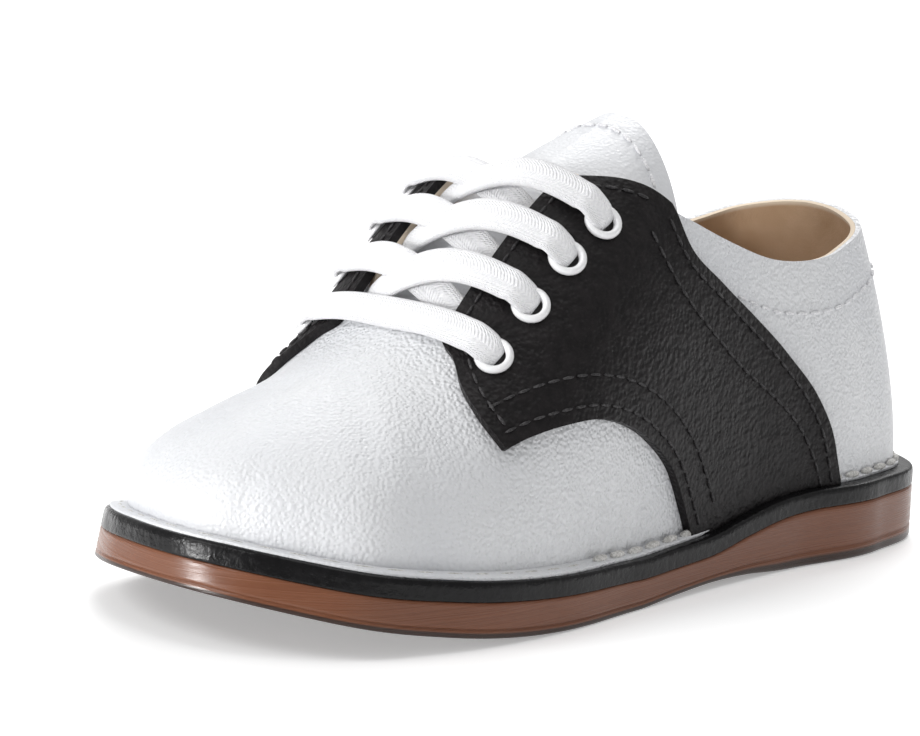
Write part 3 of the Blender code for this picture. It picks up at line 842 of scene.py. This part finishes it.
ON_LEATHER = CLEARANCE + OVERLAY    # the saddle's face over the form
SADDLE_FORM = {side: np.array([skin(side * SHARES, np.full(len(SHARES), wrap), ON_LEATHER)
                               for wrap in SHARES]) for side in (1, -1)}


def beside(y, z, side):
    """The turns and wraps at which a saddle's face passes places seen from the side."""
    form = SADDLE_FORM[side]
    columns = range(len(SHARES))
    up = np.array([np.interp(z, form[:, k, 2], SHARES) for k in columns])
    ys = np.array([np.interp(up[k], SHARES, form[:, k, 1]) for k in columns])
    shares = np.array([np.interp(-y[n], -ys[:, n], SHARES) for n in range(len(y))])
    wraps = np.array([np.interp(shares[n], SHARES, up[:, n]) for n in range(len(y))])
    return np.stack([side * shares, wraps], axis=-1)


def shares_to_side(rows):
    rows = np.array(rows)
    return LENGTH * (0.5 - rows[:, 0]), FACING_HEIGHT * rows[:, 1]


def evenly(places, count, lean=1.0):
    """A row of turns and wraps resampled by the distance between them on the saddle. A lean
    over 1 crowds them towards its start."""
    run = run_of(on_saddle(places))
    reached = run[-1] * np.linspace(0, 1, count)**lean
    return np.stack([np.interp(reached, run, places[:, k]) for k in (0, 1)], axis=-1)


def softened(points, passes):
    """A row of places with its corners rounded, its two ends kept."""
    for _ in range(passes):
        middle = (points[:-2] + 2 * points[1:-1] + points[2:]) / 4
        points = np.concatenate([points[:1], middle, points[-1:]])
    return points


def on_saddle(places):
    return skin(places[:, 0], places[:, 1], ON_LEATHER)


FOOT_WRAP = 0.035           # below this the edges run straight on down to the welt
EDGE_STEPS = 120
FACING_STEPS = 110
FACING_SOFTENING = 40
CORNER_STEPS = 60
CORNER_SOFTENING = 24
CORNER_REACH = 12           # steps of the facing that the rounding of the corner takes in
CORNER_SPLIT = 16           # and steps of the rounded corner that belong to the facing


def saddle_edges(side):
    """The five edges of one saddle as rows of turn and wrap. The facing runs beside the throat
    and the head along the collar, and a rounded corner joins them."""
    steps = np.linspace(0, 1, EDGE_STEPS // 2)
    edges = []
    for table in (SADDLE_FRONT, SADDLE_REAR):
        rows = np.stack([read(table, "along", steps), read(table, "height", steps)], axis=-1)
        edge = beside(*shares_to_side(rows), side)
        edge = edge[edge[:, 1] > FOOT_WRAP]
        ahead = (edge[-1] - edge[-4]) / (edge[-4, 1] - edge[-1, 1])
        edges.append(np.concatenate([edge, [edge[-1] + ahead * edge[-1, 1]]]))
    front, rear = edges
    tip = beside(*shares_to_side([SADDLE_FRONT[1][1:]] + list(SADDLE_TIP)[::-1]), side)
    collar = np.array(topline())[::-1]
    ys = np.linspace(LENGTH * (0.5 - SADDLE_TIP[0][0]), 0.0, 80)
    facing = np.stack(place(np.full(len(ys), side * THROAT_GAP / 2), ys), axis=-1)
    heights = on_saddle(facing)
    over_collar = heights[:, 2] > np.interp(heights[:, 1], collar[:, 0], collar[:, 1])
    ends_at = int(np.argmax(over_collar))
    ys = np.linspace(heights[ends_at - 1, 1], LENGTH * (0.5 - SADDLE_REAR[1][1]), 30)[1:]
    head = beside(ys, np.interp(ys, collar[:, 0], collar[:, 1]), side)
    rear = np.concatenate([head[-1:], rear[2:]])
    facing = evenly(np.concatenate([tip, facing[:ends_at]]), FACING_STEPS)
    facing = softened(facing, FACING_SOFTENING)
    front = evenly(front, EDGE_STEPS)
    front[0] = facing[0]
    corner = evenly(np.concatenate([facing[-CORNER_REACH:], head]), CORNER_STEPS)
    corner = softened(corner, CORNER_SOFTENING)
    facing = np.concatenate([facing[:-CORNER_REACH], corner[:CORNER_SPLIT]])
    head = corner[CORNER_SPLIT - 1:]
    rear = evenly(rear, EDGE_STEPS)
    foot_turns = np.linspace(front[-1, 0], rear[-1, 0], 100)
    foot = np.stack([foot_turns, np.zeros(len(foot_turns))], axis=-1)
    return {"front": front, "rear": rear, "facing": facing, "head": head, "foot": foot}


PATCH = (150, 170)          # columns and rows of one saddle
FRONT_LEAN = 1.45           # the rows leave the front side closer together low down
EDGE_FADE = 6               # how fast the rows forget the curve of the top and foot edges


def patch_lay(edges):
    """A lay between the edges of a saddle: u from front to rear, v from the foot up. Its front
    side runs up the curved front edge to the tip, and on up the facing."""
    front = np.concatenate([edges["front"][::-1], edges["facing"][1:]])
    front = evenly(front, PATCH[1] + 1, FRONT_LEAN)
    rear = evenly(edges["rear"][::-1], PATCH[1] + 1)
    foot, top = (evenly(edges[name], PATCH[0] + 1) for name in ("foot", "head"))
    a = np.linspace(0, 1, PATCH[0] + 1)[:, None, None]
    b = np.linspace(0, 1, PATCH[1] + 1)[None, :, None]
    straight_foot = (1 - a) * foot[0] + a * foot[-1]
    straight_top = (1 - a) * top[0] + a * top[-1]
    places = ((1 - a) * front[None] + a * rear[None]
              + (1 - b)**EDGE_FADE * (foot[:, None] - straight_foot)
              + b**EDGE_FADE * (top[:, None] - straight_top))

    def lay(u, v):
        row = np.rint(v * PATCH[1]).astype(int)
        found = places[np.rint(u * PATCH[0]).astype(int), row]
        points = skin(found[:, 0], np.clip(found[:, 1], 0.0, 1.0), ON_LEATHER)
        points[:, 2] = np.where(row == 0, seat(points[:, 1]), points[:, 2])
        return points

    return lay


def black_look():
    """Near-black leather with a fine grain and small wrinkles."""
    look = Look("black_leather")
    grain = look.cells(1500.0)
    wrinkle = look.noise(520.0, 3.0, 0.6)
    broad = look.noise(45.0, 2.0, 0.5)
    colour = look.blend(look.ramp(wrinkle, 0.35, 0.7), (0.0062, 0.0052, 0.0056, 1),
                        (0.0120, 0.0100, 0.0106, 1))
    rough = look.ramp(broad, 0.3, 0.7, 0.40, 0.52)
    bump = look.bumped(grain * 0.6 + wrinkle, 0.00034, 0.9)
    return look.surface(Base_Color=colour, Roughness=rough, Normal=bump,
                        Specular_IOR_Level=0.20)


SADDLE_WALL = OVERLAY + 0.0002
black_leather = black_look()
saddle_trees = {}
saddle_rims = {}
for side, word in ((1, "inner"), (-1, "outer")):
    edges = saddle_edges(side)
    saddle = laid_grid(*PATCH, patch_lay(edges))
    saddle_trees[side] = BVHTree.FromBMesh(saddle)
    saddle_rims[side] = {name: on_saddle(edge) for name, edge in edges.items()}
    finished(f"saddle_{word}_looks", saddle, black_leather,
             [f"saddle_{word}"], SADDLE_WALL, 0.00035)


# Stitching on the saddles
# Black waxed thread runs just inside the edge all round each saddle, and once more further in
# along the curved front edge and the rear edge. Its stitches are pulled into the leather.

SMALLEST_STEP = 0.0001


def inward_row(edge, margins, side, flip, passes):
    """Points beside an edge, in from it by a margin at each point, softened. Points that would
    turn back on the row are left out."""
    ahead = np.gradient(edge, axis=0)
    ahead /= np.linalg.norm(ahead, axis=1, keepdims=True)
    tree = saddle_trees[side]
    row = []
    for k, point in enumerate(edge):
        normal = np.array(tree.find_nearest(Vector(point))[1])
        aside = np.cross(normal, ahead[k]) * flip
        row.append(point + aside * margins[k])
    row = softened(np.array(row), passes)
    kept = [0]
    for k in range(1, len(row)):
        if (row[k] - row[kept[-1]]).dot(ahead[k]) > SMALLEST_STEP:
            kept.append(k)
    return row[kept]


def stitches(bm, tree, row, pitch, thread, share=0.84, sink=0.25, start=0.0):
    """Stitches along a row of points, each a rounded grain that lies on the leather, sunk by a
    share of the thread's thickness. Share is how much of the pitch a stitch fills."""
    run = run_of(row)
    for k in range(int((run[-1] - start) / pitch)):
        ends = start + (k + 0.5 + np.array([-0.5, 0.5]) * share) * pitch
        tail, tip = (Vector([np.interp(end, run, row[:, a]) for a in range(3)])
                     for end in ends)
        found, normal = tree.find_nearest((tail + tip) / 2)[:2]
        along = (tip - tail).normalized()
        along = (along - normal * along.dot(normal)).normalized()
        aside = normal.cross(along)
        middle = found + normal * thread * (0.5 - sink)
        turned = Matrix((along, aside, normal)).transposed().to_4x4()
        size = Matrix.Diagonal((share * pitch / 2, thread / 2, thread / 2, 1.0))
        bmesh.ops.create_uvsphere(bm, u_segments=8, v_segments=6, radius=1.0,
                                  matrix=Matrix.Translation(middle) @ turned @ size)


def thread_look(name, colour, lighter):
    look = Look(name)
    twist = look.noise(2600.0, 2.0, 0.6)
    shade = look.blend(look.ramp(twist, 0.35, 0.7), colour, lighter)
    return look.surface(Base_Color=shade, Roughness=0.7,
                        Normal=look.bumped(twist, 0.00010, 0.7))


black_thread = thread_look("black_thread", (0.010, 0.009, 0.010, 1), (0.055, 0.052, 0.054, 1))
THREAD = 0.00048
PITCH = 0.0025
OUTER_ROW = 0.0021          # margins of the two rows
INNER_ROW = 0.0066
INNER_REAR_ROW = ((0.0, 0.45, 0.8, 1.0), (INNER_ROW, 0.0086, 0.0058, 0.0044))
OUTER_SOFTENING = 6
INNER_SOFTENING = 66
for side, word in ((1, "inner"), (-1, "outer")):
    front, rear = saddle_rims[side]["front"], saddle_rims[side]["rear"]
    top = np.concatenate([saddle_rims[side]["facing"], saddle_rims[side]["head"][1:]])
    rear_margins = np.interp(np.linspace(0, 1, len(rear)), *INNER_REAR_ROW)
    bm = bmesh.new()
    for edge, margins, flip, passes, first, end in (
        (front, np.full(len(front), OUTER_ROW), side, OUTER_SOFTENING, 2, -1),
        (front, np.full(len(front), INNER_ROW), side, INNER_SOFTENING, 2, -1),
        (rear, np.full(len(rear), OUTER_ROW), -side, OUTER_SOFTENING, 3, -1),
        (rear, rear_margins, -side, INNER_SOFTENING, 3, -1),
        (top, np.full(len(top), OUTER_ROW), -side, OUTER_SOFTENING, 5, -5),
    ):
        row = inward_row(edge, margins, side, flip, passes)
        stitches(bm, saddle_trees[side], row[first:end], PITCH, THREAD)
    finished(f"saddle_stitches_{word}", bm, black_thread, [])


# Stitching on the collar
# One row of fine white thread runs round the quarters and the back, 8 mm under the collar's
# edge. It holds the collar's lining and runs up to the saddle on each side.

white_thread = thread_look("white_thread", (0.62, 0.62, 0.64, 1), (0.86, 0.86, 0.87, 1))
COLLAR_ROW = 0.0078
COLLAR_PITCH = 0.0031
FINE_THREAD = 0.0006
bm = bmesh.new()
for side in (1, -1):
    edge = np.array(topline())[::-1]
    rear_y = LENGTH * (0.5 - SADDLE_REAR[1][1])
    ys = np.linspace(edge[-1, 0] - 0.0002, rear_y + 0.004, 160)
    places = beside(ys, np.interp(ys, edge[:, 0], edge[:, 1]) - COLLAR_ROW, side)
    round_back = np.linspace(0.0, places[0, 0], 40)[:-1]
    round_back = np.stack([round_back, np.full(len(round_back), places[0, 1])], axis=-1)
    places = np.concatenate([round_back, places])
    row = skin(places[:, 0], places[:, 1], 0.0)
    rear_edge = saddle_rims[side]["rear"][::-1]
    saddle_y = np.interp(row[:, 2], rear_edge[:, 2], rear_edge[:, 1])
    stitches(bm, upper_tree, row[row[:, 1] > saddle_y + OVERLAY], COLLAR_PITCH, FINE_THREAD,
             start=0.0008)
finished("collar_stitches", bm, white_thread, [])


# Welt stitching
# The white leather turns out over the welt as a narrow flange. Thick waxed thread, greyed with
# wear, sews it down close to the upper; at the toe the stitches are sunk and hardly show.

FLANGE = 0.0007
FLANGE_UNDER = 0.0008       # how far the flange reaches in under the upper
FLANGE_EDGE = ((-0.030, -0.010, 0.030), (0.0007, 0.0013, 0.0024))
FLANGE_GRID = (420, 8)


def flange_margin(turns):
    """How far in from the welt's edge the flange ends: little at the toe, more behind."""
    return np.interp(sole_top(turns)[:, 1], *FLANGE_EDGE)


def flange_lay(u, v):
    turns = even_turn(u)
    outer = flange_margin(turns)
    margin = outer + (WELT_MARGIN + FLANGE_UNDER - outer) * v
    points = inset(sole_top, turns, margin)
    points[:, 2] = seat(points[:, 1]) + FLANGE * (1 - 0.25 * (1 - v)**2) + 0.0002 * v
    return points


flange = laid_grid(*FLANGE_GRID, flange_lay, (0.0, -1.0))
finished("flange_looks", flange, white_leather, [], FLANGE, 0.0002)

welt_thread = thread_look("welt_thread", (0.42, 0.41, 0.39, 1), (0.74, 0.73, 0.71, 1))
WELT_PITCH = 0.0046
WELT_THREAD = 0.0012
TOE_FROM = -0.022           # forward of this the stitches are sunk
bm = bmesh.new()
turns = even_turn(np.linspace(0, 1, 900))
row = inset(sole_top, turns, (flange_margin(turns) + WELT_MARGIN) / 2)
row[:, 2] += FLANGE
flange_tree = BVHTree.FromObject(bpy.data.objects["flange_looks"],
                                 bpy.context.evaluated_depsgraph_get())
behind = np.flatnonzero(row[:, 1] >= TOE_FROM)
first, end = behind[0], behind[-1] + 1
stitches(bm, flange_tree, row[first:end], WELT_PITCH, WELT_THREAD, sink=0.35)
for toe_row in (row[:first], row[end:]):
    stitches(bm, flange_tree, toe_row, WELT_PITCH, WELT_THREAD / 2, share=0.80, sink=0.80)
finished("welt_stitches", bm, welt_thread, [])


# Tongue
# One piece of soft white leather is sewn in under the front of the throat, lies under the facings
# and stands up behind them. Its end is cut round, with a row of white stitches 4 mm in.

TONGUE = 0.0016
TONGUE_WIDTH = 0.0410
TONGUE_DROP = 0.0040        # how far its end falls away from the facings
TONGUE_LEAN = 0.62          # how much more of that it falls on its outer side
TONGUE_SHIFT = 0.0022       # how far its end lies towards the inner side
TONGUE_CORNER = 0.0036
TONGUE_NARROW = 0.72        # its width in front, as a share of that at its end
TONGUE_TOP = 0.424          # its two ends, as shares of LENGTH from the heel
TONGUE_FRONT = 0.770
TONGUE_GRID = (64, 96)


def tongue_lay(u, v):
    across = 2 * u - 1
    top_y = LENGTH * (0.5 - TONGUE_TOP)
    front_y = LENGTH * (0.5 - TONGUE_FRONT)
    corner = TONGUE_CORNER * (1 - np.sqrt(1 - np.minimum(np.abs(across), 0.999)**4))
    narrow = TONGUE_NARROW + (1 - TONGUE_NARROW) * np.sin(v * math.pi / 2)
    xs = TONGUE_WIDTH / 2 * narrow * across + TONGUE_SHIFT * v
    ys = front_y + (top_y - corner - front_y) * v
    lean = TONGUE_LEAN * (1 - np.clip(across, -1, 0.9))
    out = -WALL - 2 * CLEARANCE - TONGUE_DROP * v**2 * lean
    return over(xs, ys, out)


tongue = laid_grid(*TONGUE_GRID, tongue_lay)
tongue_tree = BVHTree.FromBMesh(tongue)
finished("tongue_looks", tongue, white_look("tongue_leather", 0.35),
         ["tongue"], TONGUE, 0.0005)
HEM = 0.915                 # where the row crosses, as a share of the tongue's length
HEM_PITCH = 0.0030
bm = bmesh.new()
share = np.linspace(0.03, 0.97, 90)
hem = tongue_lay(share, np.full(len(share), HEM))
stitches(bm, tongue_tree, hem, HEM_PITCH, FINE_THREAD)
for across in (0.10, 0.90):
    share = np.linspace(0.60, HEM, 50)
    side_row = tongue_lay(np.full(len(share), across), share)
    stitches(bm, tongue_tree, side_row, HEM_PITCH, FINE_THREAD)
finished("tongue_stitches", bm, white_thread, [])


# Eyelets
# Four pressed metal eyelets a side, enamelled white. Each has a rounded flange on the black
# leather and a barrel down through both leathers and the lining, which it clasps.

EYELET_ROW = 0.0080         # from the facing's edge to the eyelets' middles
EYELET_RADIUS = 0.0029
EYELET_HOLE = 0.0017
EYELET_METAL = 0.0004
EYELET_RISE = 0.0007        # the flange over the leather
EYELETS = 4
EYELET_START = 0.700        # the foremost eyelet, as a share of LENGTH from the heel
EYELET_STEP = 0.0071


def eyelet_places(side):
    first = LENGTH * (0.5 - EYELET_START)
    return [(side * (THROAT_GAP / 2 + EYELET_ROW), first + EYELET_STEP * k)
            for k in range(EYELETS)]


def stand_on(x, y, out):
    """A frame on the form: origin a distance outside it, Z square to it."""
    spot = np.array([x]), np.array([y])
    normal = Vector(outward(*place(*spot))[0])
    turned = normal.to_track_quat("Z", "Y").to_matrix().to_4x4()
    return Matrix.Translation(Vector(over(*spot, [out])[0])) @ turned


def enamel_look():
    """Glossy white enamel, a little dulled by wear."""
    look = Look("white_enamel")
    wear = look.noise(700.0, 2.0, 0.5)
    colour = look.blend(wear, (0.80, 0.80, 0.81, 1), (0.86, 0.86, 0.87, 1))
    return look.surface(Base_Color=colour, Roughness=look.ramp(wear, 0.3, 0.7, 0.18, 0.30),
                        Coat_Weight=0.4, Normal=look.bumped(wear, 0.00004, 0.4))


def eyelet_rings():
    """All the eyelets, each spun from its section and set square to the form."""
    bm = bmesh.new()
    barrel = EYELET_HOLE + EYELET_METAL
    depth = OVERLAY + CLEARANCE + WALL
    middle = (EYELET_RADIUS + EYELET_HOLE) / 2
    reach = (EYELET_RADIUS - EYELET_HOLE) / 2
    profile = [(EYELET_HOLE, -depth), (barrel, -depth), (barrel, CLEARANCE / 2)]
    profile += [(middle + reach * math.cos(angle),
                 CLEARANCE / 2 + EYELET_RISE * math.sin(angle) * 1.2)
                for angle in np.linspace(0, math.pi, 11)]
    for x, y in eyelet_places(1) + eyelet_places(-1):
        before = set(bm.verts)
        verts = [bm.verts.new((radius, 0, height)) for radius, height in profile]
        edges = [bm.edges.new((verts[k - 1], verts[k])) for k in range(len(verts))]
        bmesh.ops.spin(bm, geom=verts + edges, axis=(0, 0, 1), cent=(0, 0, 0),
                       angle=2 * math.pi, steps=36, use_merge=True)
        ring = [vert for vert in bm.verts if vert not in before]
        bmesh.ops.transform(bm, matrix=stand_on(x, y, ON_LEATHER), verts=ring)
    bmesh.ops.remove_doubles(bm, verts=bm.verts, dist=1e-6)
    bmesh.ops.recalc_face_normals(bm, faces=bm.faces)
    return bm


rings = [f"eyelet_{word}_{k + 1}" for word in ("inner", "outer") for k in range(EYELETS)]
finished("eyelet_rings", eyelet_rings(), enamel_look(), rings)


# Laces
# One flat braided cotton lace: a straight bar over the lowest pair of eyelets, then crossings
# that come up from under one facing, over the tongue, and down through the eyelet opposite.

LACE_WIDTH = 0.0052
LACE_THICKNESS = 0.0010
# Heights of the lace's middle over the form where it lies on another piece.
ON_FLANGE = ON_LEATHER + EYELET_RISE + LACE_THICKNESS / 2
ON_FACING = ON_LEATHER + CLEARANCE + LACE_THICKNESS / 2
ON_TONGUE = LACE_THICKNESS / 2 - WALL
ON_VAMP = 2 * CLEARANCE + LACE_THICKNESS / 2


DIVE_DEPTHS = (0.0002, -0.0024)
DIVE_SHARE = 0.045          # a strand leaves the form this far from its eyelet's middle
FACE_STEP = 0.001
MIDDLE_SOFTENING = 14
FACE_SOFTENING = 30


def spline(points, count):
    """A smooth row through a few points, evenly spaced."""
    run = run_of(points)
    table = [("run", "x", "y", "z")] + [(run[k], *points[k]) for k in range(len(points))]
    at = np.linspace(0, run[-1], count)
    table = tuple(tuple(row) for row in table)
    return np.stack([read(table, name, at) for name in ("x", "y", "z")], axis=-1)


def dived(middle, face, spot):
    """A strand's path led on, at its end, down through the eyelet at a place."""
    hole = stand_on(*spot, ON_LEATHER)
    down = np.array([hole @ Vector((0, 0, depth)) for depth in DIVE_DEPTHS])
    onward = (middle[-1] - middle[-3]) / np.linalg.norm(middle[-1] - middle[-3])
    turning = [0.6 * face[-1] + FACE_STEP * onward, FACE_STEP * onward]
    return np.concatenate([middle, down]), np.concatenate([face, turning])


def strand_path(start, end, outs, bow, lift, dives):
    """The middle of a strand and the way its face points, from place to place. Outs gives its
    height over the form, bow a bend towards the toe and lift a hump in its middle."""
    shares = np.linspace(0, 1, 26)
    shares = shares[shares > DIVE_SHARE] if dives[0] else shares
    shares = shares[shares < 1 - DIVE_SHARE] if dives[1] else shares
    xs = start[0] + (end[0] - start[0]) * shares
    ys = start[1] + (end[1] - start[1]) * shares - bow * np.sin(math.pi * shares)
    heights = read((("share", "out"),) + outs, "out", shares)
    heights = heights + lift * np.sin(math.pi * shares)
    middle = over(xs, ys, heights)
    face = softened(over(xs, ys, heights + FACE_STEP) - middle, FACE_SOFTENING)
    middle = softened(middle, MIDDLE_SOFTENING)
    if dives[0]:
        middle, face = dived(middle[::-1], face[::-1], start)
        middle, face = middle[::-1], face[::-1]
    if dives[1]:
        middle, face = dived(middle, face, end)
    return middle, face


STRAND_STEPS = 110
STRAND_ROUND = 28
THROAT_RUN = 0.0016         # the narrow run of a strand at its eyelet
NARROWING = 0.0030          # and the run over which it narrows
NARROW_HALF = 0.00165       # half its width there
THICKENING = 0.00030
SIDE_ROUND = 0.62           # how square the section is, across and through
FACE_ROUND = 0.42


def strand(start, end, outs, bow, lift, dives):
    """One flat strand with round edges, narrowed where it goes down an eyelet."""
    middle, face = strand_path(start, end, outs, bow, lift, dives)
    path = spline(middle, STRAND_STEPS + 1)
    faces = spline(face, STRAND_STEPS + 1)
    ahead = np.gradient(path, axis=0)
    wide = np.cross(ahead, faces)
    wide /= np.linalg.norm(wide, axis=1, keepdims=True)
    raised = np.cross(wide, ahead)
    raised /= np.linalg.norm(raised, axis=1, keepdims=True)
    run = run_of(path)
    half = np.full(len(path), LACE_WIDTH / 2)
    thick = np.full(len(path), LACE_THICKNESS / 2)
    for which, from_end in ((0, run), (1, run[-1] - run)):
        if dives[which]:
            near = np.clip(1 - (from_end - THROAT_RUN) / NARROWING, 0, 1)
            near = near**2 * (3 - 2 * near)
            half -= near * (LACE_WIDTH / 2 - NARROW_HALF)
            thick += near * THICKENING

    def lay(u, v):
        step = np.rint(u * STRAND_STEPS).astype(int)
        angle = 2 * math.pi * v
        cosine, sine = np.cos(angle), np.sin(angle)
        a = np.sign(cosine) * np.abs(cosine)**SIDE_ROUND * half[step]
        b = np.sign(sine) * np.abs(sine)**FACE_ROUND * thick[step]
        return path[step] + a[:, None] * wide[step] + b[:, None] * raised[step]

    bm = laid_grid(STRAND_STEPS, STRAND_ROUND, lay)
    bmesh.ops.holes_fill(bm, edges=[edge for edge in bm.edges if edge.is_boundary], sides=0)
    chart = bm.loops.layers.uv["shares"]
    for polygon in bm.faces:
        for loop in polygon.loops:
            loop[chart].uv[0] *= run[-1] / LACE_WIDTH
    return bm


def cotton_look():
    """Braid seen as small chevrons along the lace, and a soft nap."""
    look = Look("white_cotton")
    along = look.part(look.chart(), 0)
    around = look.part(look.chart(), 1)
    folded = look.node("Math", {"operation": "PINGPONG"}, {0: around * 2.0, 1: 0.25})
    rib = look.node("Math", {"operation": "SINE"}, {0: (along + folded * 1.6) * 58.0})
    cross = look.node("Math", {"operation": "SINE"}, {0: around * 150.0})
    nap = look.noise(2200.0, 3.0, 0.7)
    height = rib * 0.28 + cross * 0.2 + nap * 1.2
    colour = look.blend(look.ramp(nap, 0.3, 0.7), (0.80, 0.80, 0.825, 1),
                        (0.88, 0.88, 0.89, 1))
    return look.surface(Base_Color=colour, Roughness=0.95, Sheen_Weight=0.25,
                        Normal=look.bumped(height, 0.00016, 0.8))


cotton = cotton_look()
near, far = eyelet_places(1), eyelet_places(-1)
bar = ((0.0, ON_FLANGE), (0.12, ON_FLANGE), (0.22, ON_FACING), (0.36, ON_VAMP),
       (0.64, ON_VAMP), (0.78, ON_FACING), (0.88, ON_FLANGE), (1.0, ON_FLANGE))
bm = strand(far[0], near[0], bar, LACE_WIDTH / 3, 0.0, (True, True))
finished("lace_bar_looks", bm, cotton, ["lace_bar"])
FACING_EDGE = THROAT_GAP / 2 + 0.0030      # the crossings start this far from the middle
rising = ((0.0, ON_TONGUE - 0.0012), (0.12, ON_TONGUE - 0.0002),
          (0.40, (ON_TONGUE + ON_FACING) / 2), (0.66, ON_FACING), (0.78, ON_FACING),
          (0.88, ON_FLANGE), (1.0, ON_FLANGE))
for k in range(EYELETS - 1):
    for side, word, lift in ((-1, "over", 0.0012), (1, "under", -0.0002)):
        start = (side * FACING_EDGE, eyelet_places(side)[k][1])
        end = eyelet_places(-side)[k + 1]
        bm = strand(start, end, rising, 0.0, lift, (False, True))
        finished(f"lace_{k + 1}_{word}", bm, cotton, [f"lace_crossing_{k + 1}"])
